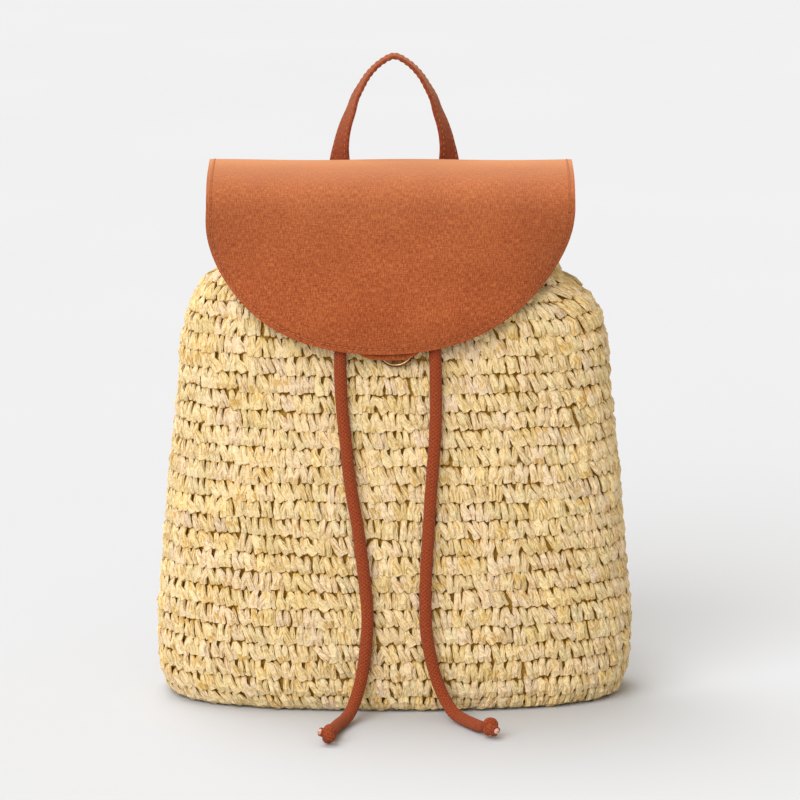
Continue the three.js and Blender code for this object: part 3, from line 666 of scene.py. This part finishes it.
# Partly uneven paper tone, partly painted highlight: raised crumples of the bump are painted lighter.
crumple_tone_and_highlight = add_node(tree, "MapRange", [crumples, 0.3, 0.7, 0.92, 1.1])
brightness = add_node(tree, "Math", [lightness, crumple_tone_and_highlight], operation="MULTIPLY")
shaded = add_node(tree, "VectorMath", [tinted, brightness], operation="MULTIPLY")
folds = add_node(tree, "Math", [crumples, 0.6, creases], operation="MULTIPLY_ADD")
bump = add_node(tree, "Bump", {"Height": folds, "Strength": 1.0, "Distance": 0.0018})
set_inputs(shader, {"Base Color": shaded, "Normal": bump})

draws = np.random.default_rng(29)
rows_total = int(round((grown[-1] - 7.0) / row_pitch))
first_side = grown[len(base_insets)]
gathers = [0] * len(base_insets) + [bag_values(height)[4] for height in side_heights]
stitches = []
for row in range(rows_total + 1):
    way = grown[-1] - top_round_drop - (rows_total - row) * row_pitch
    if way < smallest_round:
        continue
    length = float(np.interp(way, grown, round_lengths))
    gathered = float(np.interp(way, grown, gathers))
    count = max(int(round(length / (stitch_pitch - 0.7 * gathered / gather_depth))), 12)
    for index in range(count):
        share = (index + 0.47 * row + draws.normal(0, 0.05)) / count
        wave = (0.5 * math.sin(6 * math.pi * share + row * 0.6)
                + 0.4 * math.sin(22 * math.pi * share + row))
        stitches.append((
            way + wave + draws.normal(0, 0.35), share % 1, 1.0 + draws.normal(0, 0.05),
            draws.normal(0, 0.16), 0.8 + draws.normal(0, 0.2), draws.integers(0, len(templates)),
            draws.beta(3, 2), draws.random(), length / count / stitch_pitch))
stitches = np.array(stitches)
middles = on_wall(stitches[:, 0], stitches[:, 1], np.full(len(stitches), -1.2))
clear = cord_distance(middles) > stitches_off_cord
is_base = stitches[:, 0] < first_side + 3
is_front = middles[:, 1] < 0
for name, chosen in (
        ("front", is_front & ~is_base), ("back", ~is_front & ~is_base), ("base", is_base)):
    straw_piece(f"straw_stitches_{name}", stitches[clear & chosen])

# The last round is turned over the rim: short slanting strands side by side round its top.
rim_way = grown[-1]
rim_roll = 2.2
rim_pitch = 6.2


def over_rim(way, share, out):
    """Bends what passes the rim over the wall's edge, as a roll of radius rim_roll."""
    past = way - rim_way + rim_roll
    angle = np.clip(past / rim_roll, 0, math.pi * 0.95)
    reach = out + rim_roll
    inward = np.where(past > 0, -rim_roll + np.cos(angle) * reach, out)
    base = on_wall(np.full_like(way, rim_way - rim_roll), share, inward)
    base[:, 2] += np.where(past > 0, np.sin(angle) * reach, past)
    return base


rim_count = int(round_lengths[-1] / rim_pitch)
rim = [(rim_way - 1.4, (index + draws.normal(0, 0.05)) / rim_count, 0.8,
        0.5 + draws.normal(0, 0.06), 0.35 + draws.normal(0, 0.08), draws.integers(0, len(templates)),
        draws.beta(3, 2), draws.random(), 0.85) for index in range(rim_count)]
straw_piece("straw_rim_round", np.array(rim), over_rim)


# Woven stretch of the drawcord
# The same cord, run in and out through the gathers of the neck and along the inside of the back.
work = cord_tube(ring_line, lambda v: cord_width / 2, 14, lumps=0.08, seed=6)
ring = finished_piece("drawcord_woven", work, cord_cover, "cord")
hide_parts("drawcord_ring")


# Flap
# Two layers of rust-brown cotton canvas, turned at the edge and topstitched. It is sewn to the
# back of the bag with its lap, lies over the mouth and hangs down the front as a D.
flap_half = 110.5
flap_thickness = 2.4
lap_foot = bag_height - 28
straight_level = bag_height - 6
tip_level = bag_height - 88.5
top_level = bag_height + 13
seat_gap = 0.3
seam_inset = 3.1
# The flap sits a little to the left, its tip more so, and the D's sides curl back round the bag.
flap_shift, tip_skew = 2.1, 6
curl_foot, curl_top, curl_reach = 256, 313, 38
snap_across, snap_level = 1.0, tip_level + 2.7
back_plane = bag_back(0, lap_foot) + seat_gap + flap_thickness / 2


def bag_front(across, height):
    half, front, _, _, _ = bag_values(height)
    return -front * (1 - min(abs(across) / half, 1) ** front_square) ** (1 / front_square)


tip_plane = bag_front(snap_across, snap_level - 11.5) - (4 * seat_gap + 2 * 2.8 + 2 + flap_thickness / 2)
fold_plane = bag_front(0, bag_height) - gather_depth
front_depth = lambda share: fold_plane + (tip_plane - fold_plane) * share
drop_level = lambda share: bag_height + (tip_level - bag_height) * share
flap_line = smooth_line([(0, depth, level) for depth, level in [
    (back_plane, lap_foot), (back_plane, bag_height - 14), (back_plane, bag_height - 5),
    (back_plane - 0.1, bag_height + 0.5), (back_plane - 1.2, top_level - 8.5),
    (back_plane - 4.5, top_level - 4), (back_plane - 11, top_level - 0.8), (back_plane - 22, top_level),
    (0, top_level - 1), (fold_plane + 14, top_level - 3), (fold_plane + 2, top_level - 6.5),
    (fold_plane - 6, bag_height), (front_depth(0.3), drop_level(0.12)),
    (front_depth(0.44), drop_level(0.28)), (front_depth(0.61), drop_level(0.43)),
    (front_depth(0.79), drop_level(0.6)), (front_depth(0.95), drop_level(0.75)),
    (tip_plane, drop_level(0.84)), (tip_plane, tip_level)]], 900)
flap_length = line_length(flap_line)
flap_run = np.linspace(0, flap_length, len(flap_line))
straight_end = int(np.nonzero(flap_line[:, 2] > straight_level)[0].max())
drop_start = flap_length * straight_end / (len(flap_line) - 1)


def drop_share(level):
    """How far down its drop the flap is at a level: 0 where its D begins, 1 at its tip."""
    return np.clip((straight_level - level) / (straight_level - tip_level), 0, 1)


def flap_width_at(along):
    """Half the flap's width, in mm, at a distance along its side profile."""
    share = drop_share(np.interp(along, flap_run, flap_line[:, 2]))
    return np.where(along > drop_start, flap_half * (1 - share ** 2.1) ** (1 / 2.1), flap_half)


def flap_middle(across, along):
    """Points of the flap's middle surface, in mm, from its flat cloth's across and along."""
    depth, level = (np.interp(along, flap_run, flap_line[:, axis]) for axis in (1, 2))
    is_front = (depth < 0) & (along > 40)
    curl = 1 - eased(level, curl_foot, curl_top)
    back = np.where(is_front, curl * curl_reach * np.abs(across / flap_half) ** 3.5, 0)
    skew = np.where(is_front, tip_skew * drop_share(level), 0)
    lift = np.clip((level - 296) / 20, 0, 1) * (1.1 + 0.35 * np.sin(across / 19 + 1.0))
    return np.stack([across - flap_shift - skew, depth + back, level + lift], axis=-1)


def flap_surface(across, along, out):
    """Points off the flap's middle surface; out is positive on its outer face."""
    across, along = np.asarray(across, float), np.asarray(along, float)
    right = flap_middle(across + 0.5, along) - flap_middle(across - 0.5, along)
    down = flap_middle(across, along + 0.5) - flap_middle(across, along - 0.5)
    normal = np.cross(down, right)
    normal /= np.linalg.norm(normal, axis=-1)[..., None]
    return flap_middle(across, along) + normal * np.asarray(out)[..., None]


# Rust-brown cotton canvas, plain weave, garment-washed: the yarns are really 0.9 mm apart, and are
# drawn about 1.4 mm apart so that they show. A fine heather runs along both yarns. Painted shade
# darkens the turned edges along their sunken seam, and a painted highlight makes the cloth paler
# where the light falls on its top.
def canvas(name, dark, mid, light, yarn):
    """A canvas of three dyed tones, with its yarns as far apart as yarn says, in mm."""
    made, tree, shader = surface(name, {
        "Roughness": 0.88, "Specular IOR Level": 0.2, "Sheen Weight": 0.3, "Sheen Roughness": 0.45,
        "Sheen Tint": linear("#FFC9A0")})
    cloth_uv = add_node(tree, "UVMap", uv_map="UVMap")
    axes = add_node(tree, "SeparateXYZ", [cloth_uv])
    drift = add_node(tree, "TexNoise", {"Vector": cloth_uv, "Scale": 0.35, "Detail": 2.0})
    waves, heathers = [], []
    for axis, stretch, scale in (("X", (1.0, 0.21, 1), 1.6), ("Y", (0.17, 1.0, 1), 1.5)):
        wander = add_node(tree, "Math", [drift, 0.8, axes.outputs[axis]], operation="MULTIPLY_ADD")
        angle = add_node(tree, "Math", [wander, 2 * math.pi / yarn], operation="MULTIPLY")
        waves.append(add_node(tree, "Math", [angle], operation="SINE"))
        along = add_node(tree, "Mapping", {"Vector": cloth_uv, "Scale": stretch})
        heathers.append(add_node(tree, "TexNoise", {
            "Vector": along, "Scale": scale, "Detail": 2.0, "Roughness": 0.6}))
    weave = add_node(tree, "Math", waves, operation="MULTIPLY")
    washed = add_node(tree, "TexNoise", {"Vector": cloth_uv, "Scale": 0.03, "Detail": 3.0})
    mixed = 0.06
    for part, weight in ((heathers[0], 0.46), (heathers[1], 0.3), (weave, 0.05), (washed, 0.12)):
        mixed = add_node(tree, "Math", [part, weight, mixed], operation="MULTIPLY_ADD")
    dye = add_node(tree, "ValToRGB", {"Fac": mixed}, stops=((0.38, dark), (0.5, mid), (0.63, light)))
    painted_top_light, edge = (add_node(tree, "Attribute", attribute_name=title) for title in ("rubbed_and_painted_light", "edge_mm"))
    # Painted highlight: the dye is mixed towards pale tan by the painted top light attribute.
    top_lit_dye = add_node(tree, "Mix", {0: painted_top_light, 6: dye, 7: linear("#E29E6C")}, data_type="RGBA")
    # Painted shade: the cloth is darkened along the sunken seam line.
    seam = add_node(tree, "MapRange", [edge, 2.0, 4.2, -1.0, 1.0])
    hollow = add_node(tree, "Math", [seam, seam], operation="MULTIPLY")
    painted_seam_shade = add_node(tree, "MapRange", [hollow, 0.0, 0.8, 0.74, 1.0])
    coloured = add_node(tree, "VectorMath", [top_lit_dye, painted_seam_shade], operation="MULTIPLY")
    relief = add_node(tree, "Math", [weave, 0.5, heathers[0]], operation="MULTIPLY_ADD")
    relief = add_node(tree, "Math", [hollow, 1.6, relief], operation="MULTIPLY_ADD")
    bump = add_node(tree, "Bump", {"Height": relief, "Strength": 0.45, "Distance": 0.0003})
    set_inputs(shader, {"Base Color": coloured, "Normal": bump})
    return made


flap_canvas = canvas("washed_cotton_canvas", "#783113", "#994A22", "#BA683A", 1.4)


def cloth_sheet(name, columns, rows, cloth_point, flat, edge_at, thickness, material, slot, painted_top_light_at):
    """A sheet laid on a curved surface, with its flat size as UVs in mm and rounded edges."""
    work = bmesh.new()
    work.loops.layers.uv.new("UVMap")
    edge_layer = work.verts.layers.float.new("edge_mm")
    painted_top_light_layer = work.verts.layers.float.new("rubbed_and_painted_light")
    bmesh.ops.create_grid(work, x_segments=columns, y_segments=rows, size=0.5, calc_uvs=True)
    layer = work.loops.layers.uv.active
    spots = np.array([vert.co[:2] for vert in work.verts]) + 0.5
    flats = flat(spots[:, 0], spots[:, 1])
    edges = edge_at(flats)
    work.verts.index_update()
    for face in work.faces:
        for corner in face.loops:
            corner[layer].uv = flats[corner.vert.index]
    # Each point keeps its distance from the edge and its share of painted top light.
    for vert, place, edge, painted_top_light in zip(work.verts, cloth_point(flats), edges, painted_top_light_at(flats)):
        vert.co = place * MM
        vert[edge_layer] = edge
        vert[painted_top_light_layer] = painted_top_light
    bmesh.ops.remove_doubles(work, verts=work.verts[:], dist=1e-6)
    for face in work.faces:
        face.normal_update()
    piece = finished_piece(name, work, material, slot)
    solid = piece.modifiers.new("cloth_thickness", "SOLIDIFY")
    solid.thickness = thickness * MM
    solid.offset = 0
    rounded = piece.modifiers.new("turned_edge", "BEVEL")
    rounded.width = thickness * 0.42 * MM
    rounded.segments = 3
    rounded.limit_method = "ANGLE"
    rounded.angle_limit = math.radians(50)
    return piece


def outline_distance(outline):
    """A function that gives how far flat points are from an outline, in mm."""
    def far(points):
        start, end = outline[:-1], outline[1:]
        run = end - start
        size = (run ** 2).sum(axis=1) + 1e-12
        near = np.full(len(points), 1e9)
        for a, r, s in zip(start, run, size):
            t = np.clip(((points - a) @ r) / s, 0, 1)
            near = np.minimum(near, np.linalg.norm(points - a - t[:, None] * r, axis=1))
        return near
    return far


# Rows lie closer together near the tip, where the D closes. The cloth stands out a little between
# its seams in slack undulations.
drop_angles = np.linspace(0, math.radians(88.6), 46)
drop_alongs = np.interp(
    -(straight_level - (straight_level - tip_level) * np.sin(drop_angles)),
    -flap_line[straight_end:, 2], np.linspace(drop_start, flap_length, len(flap_line) - straight_end))
flap_alongs = np.concatenate([np.linspace(0, drop_start, 44, endpoint=False), drop_alongs])
flap_rows = len(flap_alongs) - 1


def flap_flat(u, v):
    along = np.interp(v, np.linspace(0, 1, flap_rows + 1), flap_alongs)
    return np.stack([(2 * u - 1) * flap_width_at(along), along], axis=1)


half_outline = np.stack([flap_width_at(flap_alongs), flap_alongs], axis=1)
flap_outline = np.vstack([half_outline, half_outline[::-1] * [-1, 1], half_outline[:1]])
flap_edge = outline_distance(flap_outline)


def flap_cloth(flats):
    across, along = flats[:, 0], flats[:, 1]
    slack = (0.55 * np.sin(across / 31 + 0.8) * np.sin(along / 27 + 0.4)
             + 0.35 * np.sin(across / 17 - along / 23 + 2.1) + 0.4)
    hang = np.clip((along - drop_start + 30) / 60, 0, 1) * np.clip(flap_edge(flats) / 14, 0, 1)
    return flap_surface(across, along, np.maximum(slack, 0) * hang)


# Painted highlight from the light above: the cloth is painted palest along its back fold, and the
# pale colour thins out over the top and down the front: distance from its back edge in mm, and
# share of the painted pale colour.
painted_top_light_table = np.array([
    (18, 0), (26, .03), (34, .12), (42, .3), (50, .5), (57, .53), (64, .46), (71, .36), (78, .28),
    (90, .215), (98, .18), (111, .125), (118, .11), (128, .06), (139, .038), (151, .026), (163, .012),
    (185, 0)])


def flap_painted_top_light(flats):
    return np.interp(flats[:, 1], painted_top_light_table[:, 0], painted_top_light_table[:, 1])


flap = cloth_sheet(
    "flap_cloth", 60, flap_rows, flap_cloth, flap_flat, flap_edge, flap_thickness,
    flap_canvas, "flap_cloth", flap_painted_top_light)
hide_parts("flap")

# Cotton sewing thread, twisted, a shade lighter than the canvas: it catches the light on the
# top of each stitch.
thread = mottled(
    "twisted_cotton_thread", {"Roughness": 0.7, "Specular IOR Level": 0.3}, "#A8522A", "#C8723F",
    {"Scale": 900.0, "Distortion": 1.0}, relief=(0.4, 0.0001), kind="TexWave", bands_direction="DIAGONAL")


def thread_template():
    """One sewing stitch 3 mm long: a thread that comes up, lies on the cloth and goes down."""
    work = bmesh.new()
    bmesh.ops.create_cone(work, cap_ends=True, segments=6, radius1=0.3, radius2=0.3, depth=3.0)
    long = [edge for edge in work.edges if abs(edge.verts[0].co.z - edge.verts[1].co.z) > 1]
    bmesh.ops.subdivide_edges(work, edges=long, cuts=3)
    for vert in work.verts:
        share = vert.co.z / 1.5
        vert.co.x *= 1 - 0.35 * share ** 4
        vert.co.y = vert.co.y * (1 - 0.35 * share ** 4) - 0.42 * abs(share) ** 3 + 0.12
    points, faces, _ = taken_apart(work)
    return points[:, [0, 2, 1]], faces


sewing_stitch = thread_template()
sewing_step = 3.6


def topstitching(name, lines, slot):
    """Sewing stitches, sewing_step apart, along pairs of (points, ways outward) in mm."""
    points, faces = [], []
    local, quads = sewing_stitch
    for places, outs in lines:
        run = distances(places)
        for middle in np.arange(2.2, run[-1] - sewing_step / 2, sewing_step):
            along = read_along(middle + 1, run, places) - read_along(middle - 1, run, places)
            along /= np.linalg.norm(along)
            out = read_along(middle, run, outs)
            out -= along * np.dot(out, along)
            out /= np.linalg.norm(out)
            side = np.cross(along, out)
            faces += [[index + len(points) * len(local) for index in quad] for quad in quads]
            points.append(read_along(middle, run, places) + local @ np.array([side, along, out]))
    mesh = bpy.data.meshes.new(name)
    mesh.from_pydata((np.concatenate(points) * MM).tolist(), [], faces)
    work = bmesh.new()
    work.from_mesh(mesh)
    bmesh.ops.recalc_face_normals(work, faces=work.faces[:])
    return finished_piece(name, work, thread, slot)


edge_run = distances(flap_outline)
even_outline = read_along(np.arange(0, edge_run[-1], 1.5), edge_run, flap_outline)
run = np.roll(even_outline, -1, axis=0) - np.roll(even_outline, 1, axis=0)
run /= np.linalg.norm(run, axis=1)[:, None] + 1e-12
seam_path = even_outline + np.stack([-run[:, 1], run[:, 0]], axis=1) * seam_inset
seam_path = seam_path[flap_edge(seam_path) > seam_inset - 0.4]
seam_line, seam_off = (
    flap_surface(*seam_path.T, np.full(len(seam_path), flap_thickness / 2 + out)) for out in (0, 1))
flap_seam_thread = topstitching(
    "flap_topstitching", [(seam_line, seam_off - seam_line)], "flap_cloth")


# Snap tab
# A small tab of the same canvas, sewn behind the flap's tip. It carries the snap's upper half,
# and its rounded lower edge shows below the flap.
tab_half, tab_thickness, tab_across = 22.0, 2.0, -3.5
tab_top, tab_foot = tip_level + 14.5, tip_level - 4.1
tab_inward = flap_thickness / 2 + seat_gap + tab_thickness / 2


def tab_flat(u, v):
    share = np.sin(np.radians(84 * v))
    half = tab_half * (1 - share ** 3) ** (1 / 3)
    return np.stack([(2 * u - 1) * half, (tab_top - tab_foot) * share], axis=1)


def tab_cloth(flats):
    across, level = flats[:, 0] + tab_across, tab_top - flats[:, 1]
    along = np.interp(-level, -flap_line[straight_end:, 2], flap_run[straight_end:])
    middle = flap_middle(across, along)
    return np.stack([across, middle[:, 1] + tab_inward, level], axis=1)


tab_rows = np.linspace(0, 1, 40)
tab_side = tab_flat(np.ones(40), tab_rows)
tab_outline = np.vstack([tab_side, tab_side[::-1] * [-1, 1], tab_side[:1]])
tab = cloth_sheet(
    "flap_tab_cloth", 22, 14, tab_cloth, tab_flat, outline_distance(tab_outline), tab_thickness,
    flap_canvas, "flap_cloth", lambda flats: np.zeros(len(flats)))
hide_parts("flap_tab")


# Magnetic snap
# Two turned discs of antique brass under the tip. Only the lower rim of the pair shows, below
# the tab, where a bead on the edge is brass of a brighter colour, partly wear and partly a painted
# highlight.
brass, tree, shader = surface("antique_brass", {"Metallic": 1.0})
place = add_node(tree, "TexCoord")
tarnish = add_node(tree, "TexNoise", {
    "Vector": place, "Scale": 260.0, "Detail": 4.0, "Roughness": 0.6})
patina = add_node(tree, "ValToRGB", {"Fac": tarnish}, stops=((0.35, "#3A2410"), (0.7, "#96683C")))
dullness = add_node(tree, "MapRange", [tarnish, 0.3, 0.7, 0.2, 0.36])
set_inputs(shader, {"Base Color": patina, "Roughness": dullness})
for name in ("snap_cap", "snap_base"):
    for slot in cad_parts[name].material_slots:
        slot.material = brass

# Brass of a brighter colour on the snap's rolled bead, partly wear and partly a painted highlight:
# it shows as a thin bright ring.
highlight_brass = mottled("rubbed_brass_painted_highlight", {"Metallic": 1.0, "Roughness": 0.24},
                       "#B88A54", "#E6C48E", {"Scale": 500.0, "Detail": 3.0})
bead_radius, bead_size, bead_sides = 10.0, 0.5, 96
cap_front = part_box("snap_cap")[0][1] / MM


def bead_point(u, v):
    around, across = 2 * math.pi * v, 2 * math.pi * u
    reach = bead_radius + bead_size * math.cos(across)
    depth = cap_front + 0.1 - bead_size * math.sin(across) * 0.6
    return Vector((
        snap_across + math.cos(around) * reach, depth, snap_level + math.sin(around) * reach)) * MM


work = rolled_grid(10, bead_sides, bead_point, lambda u, v: (u * 3, v * 63), close_ends=False)
finished_piece("snap_rolled_bead", work, highlight_brass, "brass")


# Handle
# A flat canvas strap, folded to 14 mm and topstitched along both edges. Its ends are sewn to the
# back lap with a box of stitches, and it turns flat where it passes over the hand.
lap_face = back_plane + flap_thickness / 2
strap_thickness = 2.4
strap_canvas = canvas("folded_canvas_strap", "#6F2C14", "#873C20", "#A05230", 1.3)


def flat_strap(name, stations, turns_at, width, steps, inset):
    """A folded strap along a line: turns_at gives its across direction at each point in turn.

    Its seams run inset from its edges. They come back with its line and the ways across and out.
    """
    line = smooth_line(stations, steps + 1)
    dense = smooth_line(stations, 24 * (len(stations) - 1) + 1)
    runs = np.gradient(line, axis=0)
    runs /= np.linalg.norm(runs, axis=1)[:, None]
    nodes = np.array(stations, float)
    near = np.array([np.argmin(((dense - node) ** 2).sum(axis=1)) for node in nodes]) / (len(dense) - 1)
    acrosses = []
    for step in range(steps + 1):
        place = float(np.interp(step / steps, near, np.arange(len(nodes))))
        across = np.array(turns_at(place, runs[step]))
        across = across - runs[step] * np.dot(across, runs[step])
        acrosses.append(across / np.linalg.norm(across))
    acrosses = np.array(acrosses)
    outs = np.cross(acrosses, runs)
    total = line_length(line)
    side_at = lambda u: squared(math.cos(2 * math.pi * u), 0.28) * width / 2

    def place(u, v):
        row = int(round(v * steps))
        rise = squared(math.sin(2 * math.pi * u), 0.62) * strap_thickness / 2
        return (line[row] + acrosses[row] * side_at(u) + outs[row] * rise) * MM

    work = rolled_grid(28, steps, place, lambda u, v: (side_at(u), v * total))
    edge_layer = work.verts.layers.float.new("edge_mm")
    for vert in work.verts:
        spot = np.array(vert.co) / MM
        row = int(np.argmin(((line - spot) ** 2).sum(axis=1)))
        from_edge = width / 2 - abs(np.dot(spot - line[row], acrosses[row]))
        vert[edge_layer] = from_edge + (seam_inset - inset)
    piece = finished_piece(name, work, strap_canvas, "strap_cloth")
    seams = []
    for face in (1, -1):
        for edge in (1, -1):
            offset = acrosses * edge * (width / 2 - inset) + outs * face * strap_thickness / 2 * 0.97
            seams.append(((line + offset)[1:-1], (outs * face)[1:-1]))
    return piece, seams, line, acrosses, outs


def sewn_box(line, acrosses, outs, near, far, reach):
    """The box of stitches that holds a strap's end: two lines across and an X between them."""
    rise = strap_thickness / 2
    corner = lambda row, edge: line[row] + acrosses[row] * edge * reach + outs[row] * rise
    ends = ((corner(near, -1), corner(near, 1)), (corner(near, 1), corner(far, -1)),
            (corner(near, -1), corner(far, 1)), (corner(far, 1), corner(far, -1)))
    return [(np.linspace(*pair, 12), np.tile(outs[(near + far) // 2], (12, 1))) for pair in ends]


# Share of the rise, share of the half spread, and share of the quarter turn.
handle_rows = [
    (0, 1, 0), (.1, 1, 0), (.19, 1, 0), (.265, 1, .13), (.34, .995, .4), (.41, .975, .56),
    (.49, .935, .65), (.565, .875, .72), (.645, .79, .78), (.725, .72, .84), (.8, .61, .9),
    (.88, .47, .95), (.955, .26, .99)]
handle_width, handle_spread = 14, 33.5
handle_foot, handle_top = bag_height - 18, top_level + 63.5
handle_plane = lap_face + seat_gap + strap_thickness / 2
leg = [(across * handle_spread, handle_foot + up * (handle_top - handle_foot), turn)
       for up, across, turn in handle_rows]
handle_stations = [(-x, z, t) for x, z, t in leg] + [(0, handle_top, 1)] + leg[::-1]
handle_turns = np.array([t for _, _, t in handle_stations]) * math.pi / 2


def handle_across(place, run):
    turn = np.interp(place, np.arange(len(handle_turns)), handle_turns)
    outward = np.array([-run[2], 0, run[0]])
    outward /= np.linalg.norm(outward)
    return outward * math.cos(turn) + np.array([0, math.sin(turn), 0])


handle, handle_seams, *handle_lie = flat_strap(
    "handle_strap", [(x, handle_plane, z) for x, z, _ in handle_stations], handle_across,
    handle_width, 110, 2.2)
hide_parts("handle")
for near, far in ((1, 6), (-2, -7)):
    handle_seams += sewn_box(*handle_lie, near, far, 4.8)
topstitching("handle_topstitching", handle_seams, "strap_cloth")


# Shoulder straps
# Two plain canvas straps, 24 mm wide, folded and topstitched as the handle is. They are sewn to
# the back lap at the top and to the back's lower corners, and stand away from the back in a bow.
shoulder_width = 24
strap_top, strap_foot, strap_bow = bag_height - 6, 14, 88
strap_across_top, strap_across_foot = 13, 96
# Share of the way down, of the bow, of the way across, and of the turn to the lower wall.
strap_rows = [
    (0, 0, 0, 0), (.045, 0, 0, 0), (.085, .03, .01, 0), (.135, .13, .05, .05), (.21, .33, .14, .12),
    (.31, .6, .28, .22), (.43, .84, .45, .36), (.56, .97, .63, .52), (.69, .96, .79, .7),
    (.8, .79, .91, .85), (.87, .54, .97, .95), (.905, .27, .995, 1), (.925, .09, 1, 1),
    (.955, 0, 1, 1), (1, 0, 1, 1)]
strap_turns = np.array([turn for *_, turn in strap_rows])


def wall_lean(height):
    """How far the back wall turns away under a strap's foot."""
    inner, outer = (bag_back(strap_across_foot + reach, height)
                    for reach in (-shoulder_width / 2, shoulder_width / 2))
    return math.atan2(inner - outer, shoulder_width)


strap_seams = []
for side in (-1, 1):
    stations = []
    for down, bow, across, turn in strap_rows:
        height = strap_top + (strap_foot - strap_top) * down
        stand = seat_gap + strap_thickness / 2
        foot_seat = bag_back(strap_across_foot, height) + stand / math.cos(wall_lean(height)) + 0.9
        seat = handle_plane * (1 - across) + foot_seat * across
        x = strap_across_top + (strap_across_foot - strap_across_top) * across
        stations.append((side * x, seat + bow * strap_bow, height))

    def strap_across(place, run, side=side):
        turn = float(np.interp(place, np.arange(len(strap_turns)), strap_turns)) * wall_lean(strap_foot)
        return (math.cos(turn), -side * math.sin(turn), 0)

    name = "left" if side < 0 else "right"
    strap, seams, *strap_lie = flat_strap(
        f"shoulder_strap_{name}", stations, strap_across, shoulder_width, 120, 2.8)
    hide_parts(f"strap_{name}")
    strap_seams += seams + sewn_box(*strap_lie, 1, 6, 9.2) + sewn_box(*strap_lie, -2, -6, 9.2)
topstitching("shoulder_strap_topstitching", strap_seams, "strap_cloth")


# Bounds of the scene's visible pieces
visual_box = [list(corner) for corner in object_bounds()]
